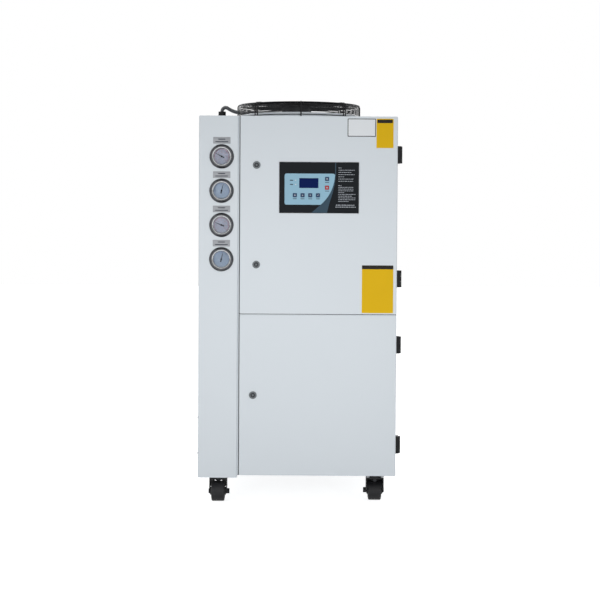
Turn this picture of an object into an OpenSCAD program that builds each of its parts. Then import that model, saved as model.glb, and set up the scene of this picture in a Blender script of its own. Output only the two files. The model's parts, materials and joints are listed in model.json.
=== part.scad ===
// Air cooled water chiller: a folded sheet cabinet on four swivel casters, with a gauge column and two
// hinged doors in front, finned condensers behind the side windows and an axial fan on the roof.
// Millimetres. X runs to the right, Y to the back, Z up; the origin is on the floor under the cabinet's middle.

/* [Cabinet] */
// Width of the cabinet over its side panels
cabinet_w = 620; // [590:5:700]
// Depth of the cabinet from the door faces to the rear panels
cabinet_d = 1000; // [950:10:1150]
// Height of the cabinet from its underside to the roof
cabinet_h = 1127; // [1080:1:1220]
// Thickness of the sheet steel panels
sheet = 1.5; // [1:0.1:2]
// Outside radius of the bends round a folded front panel
bend_r = 4; // [3:0.5:6]
// Width of the flanges folded along the panel edges
flange_w = 25; // [20:1:30]
// Height of the base tray
base_h = 45; // [35:1:60]
// Thickness of the base tray's steel
base_sheet = 2.5; // [2:0.1:3]

/* [Doors] */
// Width of the fixed column left of the doors
column_w = 123; // [115:1:135]
// How far the column hangs below the cabinet's underside
column_drop = 5; // [0:0.5:6]
// Clear gap round the doors and behind them
door_gap = 5; // [5:0.5:7]
// Depth of a door pan
door_t = 24; // [22:1:30]
// Height of the upper door
control_door_h = 617; // [580:1:650]
// How far the lower door ends above the cabinet's underside
door_lift = 3; // [2:1:10]
// Width of the lip folded in behind a door
door_lip = 12; // [8:1:16]
// Cover of the frame inside each door's edge
frame_cover = 25; // [20:1:30]
// Depth of the folds round the frame's two openings
frame_return = 18; // [12:1:22]

/* [Hinges and locks] */
// Height of a hinge
hinge_h = 53; // [45:1:65]
// Radius of a hinge barrel
hinge_r = 7.5; // [6:0.1:8]
// Radius of a hinge pin
hinge_pin_r = 3; // [2.5:0.1:3.5]
// Thickness of a hinge leaf
hinge_leaf_t = 10; // [4:0.5:10]
// Length of a hinge leaf behind its barrel
hinge_leaf_l = 24; // [20:1:30]
// From the upper door's bottom edge to its lower hinge's middle
control_hinge_lift = 111; // [90:1:140]
// From the upper door's top edge to its upper hinge's middle
control_hinge_drop = 118; // [90:1:140]
// From the lower door's bottom edge to its lower hinge's middle
service_hinge_lift = 97; // [70:1:120]
// From the lower door's top edge to its upper hinge's middle
service_hinge_drop = 91; // [70:1:120]
// Radius of a lock's head
lock_r = 12; // [11:0.5:14]
// Radius of a lock's barrel
lock_barrel_r = 9; // [8:0.5:9.5]
// From the upper door's left edge to its locks
control_lock_x = 52; // [48:1:70]
// From the lower door's left edge to its lock
service_lock_x = 43.5; // [42:0.5:70]

/* [Gauges] */
// Radius of a gauge's mounting flange
gauge_flange_r = 38; // [36:0.5:42]
// Radius of a gauge's case behind the panel
gauge_case_r = 30.5; // [29:0.5:31]
// Depth of a gauge's case behind the panel
gauge_case_l = 34; // [28:1:45]
// From the column's left edge to the gauge centres
gauge_x = 71; // [60:1:75]
// From the roof down to the top gauge's centre
gauge_drop = 127; // [110:1:150]
// Distance between gauge centres
gauge_pitch = 106.8; // [100:0.1:120]

/* [Control panel] */
// Width of the control panel
panel_w = 248; // [230:1:270]
// Height of the control panel
panel_h = 159; // [150:1:175]
// Thickness of the control panel
panel_t = 2.5; // [2:0.1:4]
// From the upper door's left edge to the panel
panel_x = 123; // [90:1:150]
// From the upper door's top edge down to the panel
panel_drop = 143; // [120:1:180]
// Width of a key
key_w = 13; // [10:0.5:15]

/* [Condensers] */
// Thickness of a finned condenser
coil_t = 44; // [30:1:60]
// Clear space between a side panel and its condenser
coil_gap = 12; // [10:1:20]
// Inset of the window from the condenser's edges
window_inset = 25; // [20:1:40]
// From the roof down to the condenser's top edge
coil_drop = 30; // [26:1:60]
// From the upper compartment's back plate to the front of the condensers
coil_setback = 20; // [10:1:60]
// From the rear panel to the back of the condensers
coil_rear = 40; // [30:1:80]
// Distance between the condensers' main fins
fin_pitch = 47; // [30:1:60]
// How far the fins stand out of a condenser's core
fin_h = 7; // [5:0.5:10]
// Depth of the upper front compartment for the electrical gear
electric_depth = 175; // [150:5:220]

/* [Fan] */
// Radius of the fan's throat
throat_r = 182; // [170:1:190]
// Outer radius of the collar round the throat
collar_r = 200; // [196:1:206]
// Height of the collar over the roof
collar_h = 36; // [34:1:42]
// Height of the guard over the roof
guard_h = 70; // [66:1:80]
// Thickness of the guard's rings
ring_wire = 3; // [2.5:0.1:3.5]
// Thickness of the guard's spokes and legs
spoke_wire = 4; // [3.5:0.1:4.5]
// Number of rings in the guard's top
guard_rings = 16; // [8:1:18]
// Number of fan blades
blades = 5; // [4:1:6]
// Clear gap between the blade tips and the throat
tip_gap = 5; // [5:0.5:8]
// Radius of the fan motor's turning can
rotor_r = 66; // [55:1:72]
// Pitch of the blades from flat
blade_pitch = 26; // [18:1:30]
// Radius of the blades' camber
blade_camber_r = 170; // [150:5:260]
// Thickness of a blade
blade_t = 3; // [2.5:0.1:4]

/* [Casters] */
// Height of a caster from the floor to its plate's top
caster_h = 85; // [80:1:90]
// Radius of a caster wheel
wheel_r = 32; // [30:0.5:33]
// Width of a caster wheel's tread
wheel_w = 41; // [36:1:44]
// Clear gap between a tread and its fork
wheel_gap = 5; // [5:0.5:7]
// Thickness of a fork's legs
fork_t = 2.5; // [2:0.1:3.5]
// Distance from a swivel axis to its wheel's axle
caster_trail = 22; // [18:1:25]
// Radius of a wheel's axle
axle_r = 5; // [4:0.5:6]
// From the cabinet's sides to the swivel axes
caster_inset_x = 62; // [60:1:90]
// From the cabinet's front and back to the swivel axes
caster_inset_y = 75; // [70:1:100]

/* [Connections] */
// Radius of the water sockets' bores
socket_bore_r = 15.15; // [12:0.05:16]
// Depth of the water sockets' bores
socket_bore_l = 22; // [18:1:26]
// Radius of the supply cable gland's bore
cable_bore_r = 8; // [6:0.5:9]

/* [Hidden] */
$fn = 64;
clear = 0.3;                     // running clearance at pins and shafts
cut = 1;                         // how far a cutter runs past a face

// Cabinet planes
half_w = cabinet_w / 2;
y_front = -cabinet_d / 2;
y_rear = cabinet_d / 2;
y_frame = y_front + door_t + door_gap;
z_bottom = caster_h;
z_top = z_bottom + cabinet_h;
z_base_top = z_bottom + base_h;
inner_x = half_w - sheet;        // inside of the side panels
roof_flange_x = inner_x - sheet; // inside of the roof's side flanges
z_flange_top = z_top - flange_w - sheet;

// Doors
door_x0 = -half_w + column_w + door_gap;
door_x1 = half_w;
control_z0 = z_top - control_door_h;
service_z0 = z_bottom + door_lift;
service_z1 = control_z0 - door_gap;
z_split = control_z0 - door_gap / 2;
deck_t = 2;
z_deck = z_split + deck_t / 2;

// Door frame
column_lip = 15;
frame_x0 = -half_w + column_w - column_lip;
hinge_cover = 35;                // cover beside the hinges
header_cover = 45;               // cover under the roof
sill_h = 15;
opening_x = [door_x0 + frame_cover, half_w - hinge_cover];
control_opening_z = [control_z0 + frame_cover, z_top - header_cover];
service_opening_z = [z_base_top + sill_h, service_z1 - frame_cover];

// Hinges
hinge_axis_x = half_w + hinge_r + 0.5;
hinge_axis_y = y_front + door_t + door_gap / 2;
knuckle_h = hinge_h / 3;
knuckle_gap = 0.5;
hinge_turn_r = hinge_r + 0.7;
control_hinge_z = [control_z0 + control_hinge_lift, z_top - control_hinge_drop];
service_hinge_z = [service_z0 + service_hinge_lift, service_z1 - service_hinge_drop];

// Locks
lock_cam = [16, 46, 2.5];
lock_flange_t = 2.2;
lock_head_h = 3.6;
lock_nut_h = 6;
lock_recess = 2.2;
lock_key_r = 4.2;
control_lock_drop = [463.5, 153]; // from the upper door's top edge
service_lock_drop = 250;          // from the lower door's top edge
control_lock_z = [for (drop = control_lock_drop) z_top - drop];
service_lock_z = service_z1 - service_lock_drop;

// Gauges
gauges = 4;
gauge_flange_t = 2;
bezel_h = 9.5;
ridge_r = 32;                    // crest of the bezel
ridge_w = 1.6;
dial_r = 25;
dial_t = 0.8;
dial_floor = 1;
lens_z = 4.6;
lens_t = 1.4;
lens_r = 26.2;
pointer_hub = [2.4, 2];
pointer_t = 0.6;
pointer_tail = 9;
pointer_tip = 21;
pointer_angles = [63, -14, 68, -14];
stem_r = 8;
stem_l = 20;

// Control panel, with places on its face measured from its top left corner
panel_x0 = door_x0 + panel_x;
panel_z1 = z_top - panel_drop;
overlay_t = 0.8;
overlay = [[16.5, 36], [173.5, 133]];
overlay_corner_r = 6;
overlay_arc_r = 128;
display = [[62, 50], [122, 81]];
key_t = 0.8;
keys = [[48.6, 103.6], [72.6, 103.6], [96.6, 103.6], [120.6, 103.6], [148.8, 52.4], [148.8, 79.4]];
controller = [170, 110, door_t - sheet - 2];

// Condensers and the plates round them
electric_y = y_frame + electric_depth;
coil_y = [electric_y + deck_t + coil_setback, y_rear - coil_rear];
coil_z = [z_deck, z_top - coil_drop];
coil_x1 = inner_x - coil_gap;
window_y = [coil_y[0] + window_inset, coil_y[1] - window_inset];
window_z = [coil_z[0] + window_inset, coil_z[1] - window_inset];
window_return = 9;
coil_plate_lap = [6, 1];         // how far the end plates stand out behind and in front of the fins
fin_t = 2;

// Side cover near the front on the left
cover = [230, 131];
cover_y = [y_frame + 6, y_frame + 6 + cover.x];
cover_lift = 58;                 // from the underside to the cover
cover_z = [z_bottom + cover_lift, z_bottom + cover_lift + cover.y];

// Fan
collar_t = 2;
throat_l = 30;                   // depth of the throat below the roof
collar_flange_r = collar_r + 22;
rim_r = (collar_r - throat_r) / 2;
roof_hole_r = throat_r + collar_t + 4;
blade_tip_r = throat_r - tip_gap;
rotor_top = z_top + 30;
rotor_bottom = z_top - 40;
shaft_r = 8;
boss_r = 42;
boss_z0 = rotor_top + 8;
guard_z = z_top + guard_h;
guard_r = collar_r + 6.5;
guard_turn = 2;                  // turn of the guard about its axis
guard_disc_r = 52;
guard_foot_t = 3;
leg_pair = 10;
leg_top = guard_z - ring_wire;
hoop_pitch = 7.5;
low_hoops = [16, 26];            // heights of the lower hoops over the roof
hoop_z = [z_top + low_hoops[0], z_top + low_hoops[1], leg_top - 2 * hoop_pitch, leg_top - hoop_pitch];
single_legs = [0, 90, 180, 270];
double_legs = [45, 135, 225, 315];

// Fan conduit: up from a gland on the roof, over a hump and along to the motor's terminal box
conduit_r = 6.5;
conduit_y = -28;
conduit_z = z_top + collar_h + conduit_r + 1;
sleeve = [0.8, 3];               // extra radius and length of a pipe's joint sleeve
hump_r = 12;
hump_angle = 125;
hump_z = z_top + 49;
hump_end = [hump_r * (1 + cos(180 - hump_angle)), hump_r * sin(180 - hump_angle)];
dip_angle = hump_angle - 90;
dip_r = (hump_z + hump_end.y - conduit_z) / (1 - cos(dip_angle));
dip_end = [hump_end.x + dip_r * sin(dip_angle), conduit_z - hump_z];
gland_x = -guard_r - dip_end.x + 15;
gland_r = 12.5;
gland_nut = [15, 14];
gland_top = hump_z - 2;
terminal = [22, 26];
terminal_x0 = -boss_r - terminal.x + 6;

// Casters
caster_x = half_w - caster_inset_x;
caster_y = cabinet_d / 2 - caster_inset_y;
caster_places = [[-caster_x, -caster_y], [caster_x, -caster_y], [-caster_x, caster_y], [caster_x, caster_y]];
caster_turns = [180, 0, 0, 0];   // where each caster has swung to
caster_plate = [58, 78, 3];
caster_plate_r = 6;
race_r = 23;
race_h = 6.5;
crown_t = 4;
crown_gap = 0.5;
kingpin_r = 6;
kingpin_head = [10, 3];
crown_z1 = caster_h - caster_plate.z - race_h - crown_gap;
crown_z0 = crown_z1 - crown_t;
fork_in = wheel_w / 2 + wheel_gap;
fork_out = fork_in + fork_t;
fork_end_r = 9;
axle_end = 2;
axle_nut = [8, 8];
fork_crown = [-20, 24];          // front and back of a fork's crown
hood_t = 2.5;
hood_lift = 10;                  // from the axle up to the hood's front edge
hood_lap = 1;                    // how far the legs stand out past that edge
hood_r = wheel_r + wheel_gap;
hood_y = caster_trail - sqrt(pow(hood_r + hood_t, 2) - pow(hood_lift, 2));
hub_gap = 0.6;
hub_r = 13;
shoulder_r = 4.5;

// Electrical gear: rails, wiring ducts, and the side outlines of the devices on each rail
gear_rail = [430, 7.5, 35];
gear_rail_z = [z_deck + 140, z_deck + 370];
gear_first_x = 30;
gear_count = 5;
gear_drop = 25;
gear_w = [45, 36];
gear_pitch = [62, 52];
gear_outline = [
    [[0, 0], [78, 0], [78, 22], [92, 22], [92, 62], [78, 62], [78, 84], [0, 84]],
    [[0, 0], [62, 0], [62, 18], [74, 24], [74, 58], [62, 64], [62, 84], [0, 84]]];
duct = [430, 55, 40];
duct_z = [z_deck + 40, z_deck + 265, z_deck + 490];

// Machinery on the base tray
floor_z = z_bottom + base_sheet;
machine_inset = 160;             // from the cabinet's sides to the compressor and the pump
tank_inset = 95;                 // from the cabinet's sides to the tank
tank = [cabinet_w - 2 * tank_inset, 340, 330];
tank_gap = 60;
tank_y0 = y_rear - sheet - tank_gap - tank.y;
tank_corner_r = 30;
tank_lid = [10, 12];             // overhang and thickness
tank_lid_z = floor_z + tank.z + tank_lid[1];
compressor_back = 230;           // from the frame back to the compressor's middle
compressor_place = [half_w - machine_inset, y_frame + compressor_back];
compressor_r = 82;
compressor_h = 330;
compressor_dome_r = 120;
compressor_foot = [210, 210, 5];
foot_corner_r = 30;
rubber_foot = [14, 24];
rubber_pitch = 160;
accumulator = [26, 200];
accumulator_x = compressor_place.x - compressor_r - 12;
accumulator_z = floor_z + rubber_foot[1] + 40;
accumulator_pipe = [8, 30, 80];
pump_back = 296;                 // from the frame back to the pump's head
pump_place = [-half_w + machine_inset, y_frame + pump_back];
pump_axis = 90;                  // height of the pump's shaft over the tray
pump_motor_r = 60;
pump_motor_l = 170;
pump_cowl = [66, 40];
pump_fins = 24;
pump_fin = [8, 2, 120];
pump_fin_start = 15;
pump_head_r = 68;
pump_head_l = 60;
pump_port_r = 22;
pump_port_h = 22;
pump_suction_l = 18;
pump_foot = [90, 130, 12];
pump_stand_w = 40;

// Pipework: from the tank to the pump, from the pump and the compressor over to the tank
water_pipe_r = 17;
water_bend = 45;
water_rise = 54;                 // from the tank's lid up to the water pipe's crown
water_crown_z = tank_lid_z + water_rise;
gas_pipe_r = 8;
gas_bend = 30;
gas_rise = 76;                   // from the tank's lid up to the gas pipe's crown
gas_crown_z = tank_lid_z + gas_rise;
pipe_reach = 90;                 // from the tank's front to where the pipes go in

// Connections on the lower rear panel: place across and up, measured from the tray's top
socket_out_r = 21;
socket_hex_r = 27;
socket_stub = 20;
socket_tail = sheet + tank_gap;
water_x = -half_w + 160;
outlet_place = [water_x, 160];
inlet_place = [water_x, 260];
drain_place = [water_x, 40];
drain_bore_r = 7.4;
drain_out_r = 12;
drain_hex_r = 16;
cable_place = [half_w - 140, 60];
cable_gland = [15, 18];          // lengths inside and outside the panel
gland_out_r = 13;
gland_hex = [16, 8];

// Shared shapes

// Box between two corners
module block(p, q) translate(p) cube(q - p);

// Rectangle from the origin with round corners
module round_rect(size, r) {
    translate([r, 0]) square([size.x - 2 * r, size.y]);
    translate([0, r]) square([size.x, size.y - 2 * r]);
    for (x = [r, size.x - r], y = [r, size.y - r]) translate([x, y]) circle(r);
}

// Upright slab whose front view is a rectangle with round corners
module front_slab(x, y, z, r)
    translate([x[0], y[1], z[0]]) rotate([90, 0, 0])
        linear_extrude(y[1] - y[0]) round_rect([x[1] - x[0], z[1] - z[0]], r);

// Block whose front is bent round at all four edges' corners, seen from the front and from above
module bent_block(x, y, z, r) {
    intersection() {
        front_slab(x, y, z, r);
        translate([0, 0, z[0]]) linear_extrude(z[1] - z[0]) {
            translate([x[0] + r, y[0]]) square([x[1] - x[0] - 2 * r, y[1] - y[0]]);
            translate([x[0], y[0] + r]) square([x[1] - x[0], y[1] - y[0] - r]);
            for (at = [x[0] + r, x[1] - r]) translate([at, y[0] + r]) circle(r);
        }
    }
}

// Sheet pan with its face to the front, edges folded back and a lip folded in behind
module folded_pan(x, y, z, lip) {
    difference() {
        bent_block(x, y, z, bend_r);
        bent_block([x[0] + sheet, x[1] - sheet], [y[0] + sheet, y[1] - sheet],
            [z[0] + sheet, z[1] - sheet], bend_r - sheet);
        block([x[0] + lip, y[1] - sheet - cut, z[0] + lip], [x[1] - lip, y[1] + cut, z[1] - lip]);
    }
}

// Turns a shape that grows along Z so that it grows out of a front face
module facing_front(p) translate(p) rotate([90, 0, 0]) children();

// Turns a shape that grows along Z so that it grows out of the rear face
module facing_rear(p) translate(p) rotate([-90, 0, 0]) children();

// Cylinder along X between two places
module rod_x(x, y, z, r) translate([x[0], y, z]) rotate([0, 90, 0]) cylinder(r = r, h = x[1] - x[0]);

// Sleeve round a joint of a pipe, turned to lie along it
module pipe_sleeve(p, turn, r)
    translate(p) rotate(turn) cylinder(r = r + sleeve[0], h = sleeve[1], center = true);

// Square ring of the guard
module square_ring(r, z, wire)
    translate([0, 0, z]) rotate_extrude() translate([r - wire / 2, 0]) square(wire);

// Cabinet

module base_tray() color("gainsboro") difference() {
    block([-inner_x, y_frame, z_bottom], [inner_x, y_rear - sheet, z_base_top]);
    block([-inner_x + base_sheet, y_frame + base_sheet, floor_z],
        [inner_x - base_sheet, y_rear - sheet - base_sheet, z_base_top - base_sheet]);
    block([-inner_x + flange_w, y_frame + flange_w, floor_z],
        [inner_x - flange_w, y_rear - sheet - flange_w, z_base_top + cut]);
}

// Side panel on the right: a sheet with a condenser window and flanges folded in at front and back
module side_panel() {
    y_back = y_rear - sheet;
    difference() {
        union() {
            block([inner_x, y_frame, z_bottom], [half_w, y_back, z_top - sheet]);
            block([inner_x - flange_w, y_frame + sheet, z_base_top],
                [inner_x, y_frame + 2 * sheet, z_flange_top]);
            block([inner_x - flange_w, y_back - sheet, z_base_top], [inner_x, y_back, z_flange_top]);
            block([inner_x - window_return, window_y[0] - sheet, window_z[0] - sheet],
                [inner_x, window_y[1] + sheet, window_z[1] + sheet]);
        }
        block([inner_x - window_return - cut, window_y[0], window_z[0]],
            [half_w + cut, window_y[1], window_z[1]]);
    }
}

module right_side_panel() color("gainsboro") side_panel();

module left_side_panel() color("gainsboro") mirror([1, 0, 0]) side_panel();

// Plate screwed over the opening low on the left side
module left_access_cover() color("gainsboro")
    translate([-half_w - sheet, cover_y[0], cover_z[0]]) rotate([90, 0, 90])
        linear_extrude(sheet) round_rect([cover_y[1] - cover_y[0], cover_z[1] - cover_z[0]], bend_r);

module rear_upper_panel() color("gainsboro")
    block([-half_w, y_rear - sheet, z_split], [half_w, y_rear, z_top - sheet]);

module rear_lower_panel() color("gainsboro") difference() {
    block([-half_w, y_rear - sheet, z_bottom], [half_w, y_rear, z_split - cut]);
    rear_hole(outlet_place, socket_out_r);
    rear_hole(inlet_place, socket_out_r);
    rear_hole(drain_place, drain_out_r);
    rear_hole(cable_place, gland_out_r);
}

module rear_hole(place, r)
    facing_rear([place.x, y_rear - sheet - cut, z_base_top + place.y])
        cylinder(r = r + clear, h = sheet + 2 * cut);

module roof_panel() color("gainsboro") difference() {
    union() {
        block([-half_w, y_frame, z_top - sheet], [half_w, y_rear, z_top]);
        for (side = [-1, 1])
            translate([side * (inner_x - sheet / 2), (y_frame + y_rear) / 2, z_top - sheet - flange_w / 2])
                cube([sheet, y_rear - y_frame - 4 * sheet, flange_w], center = true);
    }
    translate([0, 0, z_top - sheet - cut]) cylinder(r = roof_hole_r, h = sheet + 2 * cut);
    translate([gland_x, conduit_y, z_top - sheet - cut]) cylinder(r = conduit_r, h = sheet + 2 * cut);
}

module front_column() color("gainsboro") difference() {
    folded_pan([-half_w, -half_w + column_w], [y_front, y_frame], [z_bottom - column_drop, z_top], column_lip);
    each_gauge() translate([0, 0, -sheet - cut]) cylinder(r = gauge_case_r + clear, h = sheet + 2 * cut);
}

// Upright of the door frame: a plate with a return along each opening
module stile(x, fold_x) {
    block([x[0], y_frame, z_base_top], [x[1], y_frame + sheet, z_top - sheet]);
    for (z = [service_opening_z, control_opening_z])
        block([fold_x, y_frame, z[0]], [fold_x + sheet, y_frame + frame_return, z[1]]);
}

module door_frame_stiles() color("gainsboro") {
    stile([frame_x0, opening_x[0]], opening_x[0] - sheet);
    stile([opening_x[1], inner_x], opening_x[1]);
}

// Cross member between the stiles, with a return at each of the given heights
module rail(z, folds) {
    block([opening_x[0], y_frame, z[0]], [opening_x[1], y_frame + sheet, z[1]]);
    for (at = folds) block([opening_x[0], y_frame, at], [opening_x[1], y_frame + frame_return, at + sheet]);
}

module door_frame_rails() color("gainsboro") {
    rail([z_base_top, service_opening_z[0]], [service_opening_z[0] - sheet]);
    rail([service_opening_z[1], control_opening_z[0]], [service_opening_z[1], control_opening_z[0] - sheet]);
    rail([control_opening_z[1], z_top - sheet], [control_opening_z[1]]);
}

// Machinery behind the doors

module condenser_deck() color("silver")
    block([-inner_x, y_frame + 2 * sheet, z_split - deck_t / 2], [inner_x, y_rear - 2 * sheet, z_deck]);

module electrical_plate() color("silver")
    block([-roof_flange_x, electric_y, z_deck], [roof_flange_x, electric_y + deck_t, z_top - sheet]);

// Contactors and breakers on two rails, between wiring ducts
module electrical_gear() color("dimgray") {
    for (row = [0, 1]) {
        z = gear_rail_z[row];
        block([-gear_rail.x / 2, electric_y - gear_rail.y, z], [gear_rail.x / 2, electric_y, z + gear_rail.z]);
        for (i = [0:gear_count - 1])
            translate([gear_first_x - gear_rail.x / 2 + i * gear_pitch[row], electric_y - gear_rail.y,
                z - gear_drop]) rotate([90, 0, 90])
                    linear_extrude(gear_w[row]) mirror([1, 0]) polygon(gear_outline[row]);
    }
    for (z = duct_z) block([-duct.x / 2, electric_y - duct.y, z], [duct.x / 2, electric_y, z + duct.z]);
}

// Core with evenly spaced fins between two end plates, standing on the deck behind a side window
module condenser() {
    fin_y = [coil_y[0] + deck_t, coil_y[1] - deck_t];
    fins = round((fin_y[1] - fin_y[0]) / fin_pitch);
    step = (fin_y[1] - fin_y[0] - fin_t) / fins;
    block([coil_x1 - coil_t + fin_h, fin_y[0], coil_z[0]], [coil_x1 - fin_h, fin_y[1], coil_z[1]]);
    for (i = [1:fins - 1])
        block([coil_x1 - coil_t, fin_y[0] + i * step, coil_z[0]],
            [coil_x1, fin_y[0] + i * step + fin_t, coil_z[1]]);
    for (y = [coil_y[0], coil_y[1] - deck_t])
        block([coil_x1 - coil_t - coil_plate_lap[0], y, coil_z[0]],
            [coil_x1 + coil_plate_lap[1], y + deck_t, coil_z[1]]);
}

module condensers() color("lightsteelblue") {
    condenser();
    mirror([1, 0, 0]) condenser();
}

module water_tank() color("lightgray") {
    lap = tank_lid[0];
    translate([-tank.x / 2, tank_y0, floor_z]) {
        linear_extrude(tank.z) round_rect([tank.x, tank.y], tank_corner_r);
        translate([-lap, -lap, tank.z])
            linear_extrude(tank_lid[1]) round_rect([tank.x + 2 * lap, tank.y + 2 * lap], tank_corner_r + lap);
    }
}

// Hermetic can with a domed top on a foot plate, with its accumulator beside it
module compressor() color("#202020") {
    translate([compressor_place.x, compressor_place.y, floor_z]) {
        dome_r = compressor_dome_r;
        dome_sink = dome_r - sqrt(dome_r * dome_r - compressor_r * compressor_r);
        for (x = [-1, 1], y = [-1, 1])
            translate([x, y, 0] * rubber_pitch / 2) cylinder(r = rubber_foot[0], h = rubber_foot[1]);
        translate([0, 0, rubber_foot[1]]) {
            translate([-compressor_foot.x / 2, -compressor_foot.y / 2])
                linear_extrude(compressor_foot.z)
                    round_rect([compressor_foot.x, compressor_foot.y], foot_corner_r);
            intersection() {
                cylinder(r = compressor_r, h = compressor_h);
                translate([0, 0, compressor_h - dome_r]) {
                    sphere(dome_r);
                    translate([0, 0, -compressor_h])
                        cylinder(r = dome_r, h = compressor_h + dome_r - dome_sink);
                }
            }
        }
    }
    translate([accumulator_x, compressor_place.y, accumulator_z]) {
        cylinder(r = accumulator[0], h = accumulator[1]);
        translate([0, 0, accumulator_pipe[2]]) rotate([0, 90, 0])
            cylinder(r = accumulator_pipe[0], h = accumulator_pipe[1]);
    }
}

// Motor and pump head on one foot, with the suction towards the tank and the discharge on top
module circulation_pump() color("steelblue") translate([pump_place.x, pump_place.y, floor_z]) rotate(180) {
    foot_y = (pump_motor_l - pump_foot.y) / 2;
    translate([-pump_foot.x / 2, foot_y, 0]) cube(pump_foot);
    translate([-pump_stand_w / 2, foot_y, pump_foot.z])
        cube([pump_stand_w, pump_foot.y, pump_axis - pump_motor_r]);
    translate([0, 0, pump_axis]) rotate([-90, 0, 0]) {
        cylinder(r = pump_motor_r, h = pump_motor_l);
        for (i = [0:pump_fins - 1]) rotate(i * 360 / pump_fins)
            translate([pump_motor_r - pump_fin.y, -pump_fin.y / 2, pump_fin_start])
                cube([pump_fin.x, pump_fin.y, pump_fin.z]);
        translate([0, 0, pump_motor_l]) cylinder(r = pump_cowl[0], h = pump_cowl[1]);
        translate([0, 0, -pump_head_l]) cylinder(r = pump_head_r, h = pump_head_l);
        translate([0, 0, -pump_head_l - pump_suction_l]) cylinder(r = pump_port_r, h = pump_suction_l + cut);
    }
    translate([0, -pump_head_l / 2, pump_axis]) cylinder(r = pump_port_r, h = pump_head_r + pump_port_h);
}

// Pipe in an upright plane along Y: up from its first end, over a level crown and down to its second
module pipe_arch(x, y, z, crown_z, r, bend) translate([x, 0, 0]) {
    turn_z = crown_z - bend;
    for (end = [0, 1]) {
        inward = end == 0 ? bend : -bend;
        translate([0, y[end], z[end]]) cylinder(r = r, h = turn_z - z[end]);
        translate([0, y[end] + inward, turn_z]) rotate([90, 0, 90]) rotate(end == 0 ? 90 : 0)
            rotate_extrude(angle = 90) translate([bend, 0]) circle(r);
        pipe_sleeve([0, y[end], turn_z], [0, 0, 0], r);
        pipe_sleeve([0, y[end] + inward, crown_z], [90, 0, 0], r);
    }
    translate([0, y[0] + bend, crown_z]) rotate([-90, 0, 0]) cylinder(r = r, h = y[1] - y[0] - 2 * bend);
}

module pipework() color("sandybrown") {
    suction_y = pump_place.y + pump_head_l + pump_suction_l;
    discharge_y = pump_place.y + pump_head_l / 2;
    discharge_z = floor_z + pump_axis + pump_head_r + pump_port_h;
    dome_z = floor_z + rubber_foot[1] + compressor_h;
    entry_y = tank_y0 + pipe_reach;
    translate([pump_place.x, suction_y, floor_z + pump_axis]) rotate([-90, 0, 0])
        cylinder(r = water_pipe_r, h = tank_y0 - suction_y);
    pipe_arch(pump_place.x, [discharge_y, entry_y], [discharge_z, tank_lid_z],
        water_crown_z, water_pipe_r, water_bend);
    pipe_arch(accumulator_x, [compressor_place.y, entry_y], [accumulator_z + accumulator[1], tank_lid_z],
        gas_crown_z, gas_pipe_r, gas_bend);
    translate([compressor_place.x, compressor_place.y, dome_z])
        cylinder(r = gas_pipe_r, h = z_split - deck_t / 2 - dome_z);
}

// Connections on the rear

// Bulkhead socket: a threaded bore in a hexagon outside the panel and a tail inside it
module socket(place, bore_r, out_r, hex_r, stub)
    facing_rear([place.x, y_rear, z_base_top + place.y]) difference() {
        union() {
            translate([0, 0, -socket_tail]) cylinder(r = out_r, h = socket_tail);
            cylinder(r = hex_r, h = stub * 0.6, $fn = 6);
            cylinder(r = out_r, h = stub);
        }
        translate([0, 0, stub - socket_bore_l]) cylinder(r = bore_r, h = socket_bore_l + cut);
        translate([0, 0, -socket_tail - cut]) cylinder(r = bore_r * 0.8, h = socket_tail + stub);
    }

module water_sockets() color("goldenrod") {
    for (place = [outlet_place, inlet_place])
        socket(place, socket_bore_r, socket_out_r, socket_hex_r, socket_stub);
    socket(drain_place, drain_bore_r, drain_out_r, drain_hex_r, socket_stub);
}

module supply_cable_gland() color("#202020")
    facing_rear([cable_place.x, y_rear, z_base_top + cable_place.y]) difference() {
        union() {
            translate([0, 0, -cable_gland[0]]) cylinder(r = gland_out_r, h = cable_gland[0] + cable_gland[1]);
            cylinder(r = gland_hex[0], h = gland_hex[1], $fn = 6);
        }
        translate([0, 0, -cable_gland[0] - cut])
            cylinder(r = cable_bore_r, h = cable_gland[0] + cable_gland[1] + 2 * cut);
    }

// Gauges

// Puts a shape at every gauge, with its Z out of the column's face
module each_gauge() for (i = [0:gauges - 1]) {
    $gauge = i;
    facing_front([-half_w + gauge_x, y_front, z_top - gauge_drop - i * gauge_pitch]) children();
}

module gauge_cases() color("silver") each_gauge() difference() {
    union() {
        translate([0, 0, -gauge_case_l]) cylinder(r = gauge_case_r, h = gauge_case_l);
        translate([0, 0, -gauge_case_l - stem_l]) cylinder(r = stem_r, h = stem_l + cut);
        cylinder(r = gauge_flange_r, h = gauge_flange_t);
        translate([0, 0, gauge_flange_t])
            cylinder(r1 = gauge_flange_r - clear, r2 = ridge_r, h = bezel_h - gauge_flange_t);
    }
    translate([0, 0, dial_floor]) cylinder(r = dial_r + clear, h = bezel_h);
    translate([0, 0, lens_z]) cylinder(r = lens_r + clear, h = lens_t);
    translate([0, 0, lens_z + lens_t])
        cylinder(r1 = lens_r, r2 = ridge_r - ridge_w, h = bezel_h - lens_z - lens_t);
}

module gauge_dials() color("white") each_gauge() translate([0, 0, dial_floor]) cylinder(r = dial_r, h = dial_t);

// Tapered needle with a broad tail, on a hub
module gauge_pointers() color("black") each_gauge() translate([0, 0, dial_floor + dial_t]) {
    hub = pointer_hub[0];
    cylinder(r = hub, h = pointer_hub[1]);
    rotate(pointer_angles[$gauge]) translate([0, 0, pointer_t]) linear_extrude(pointer_t)
        polygon([[-hub * 0.7, -pointer_tail], [hub * 0.7, -pointer_tail], [hub * 0.45, 0],
            [hub * 0.15, pointer_tip], [-hub * 0.15, pointer_tip], [-hub * 0.45, 0]]);
}

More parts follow.
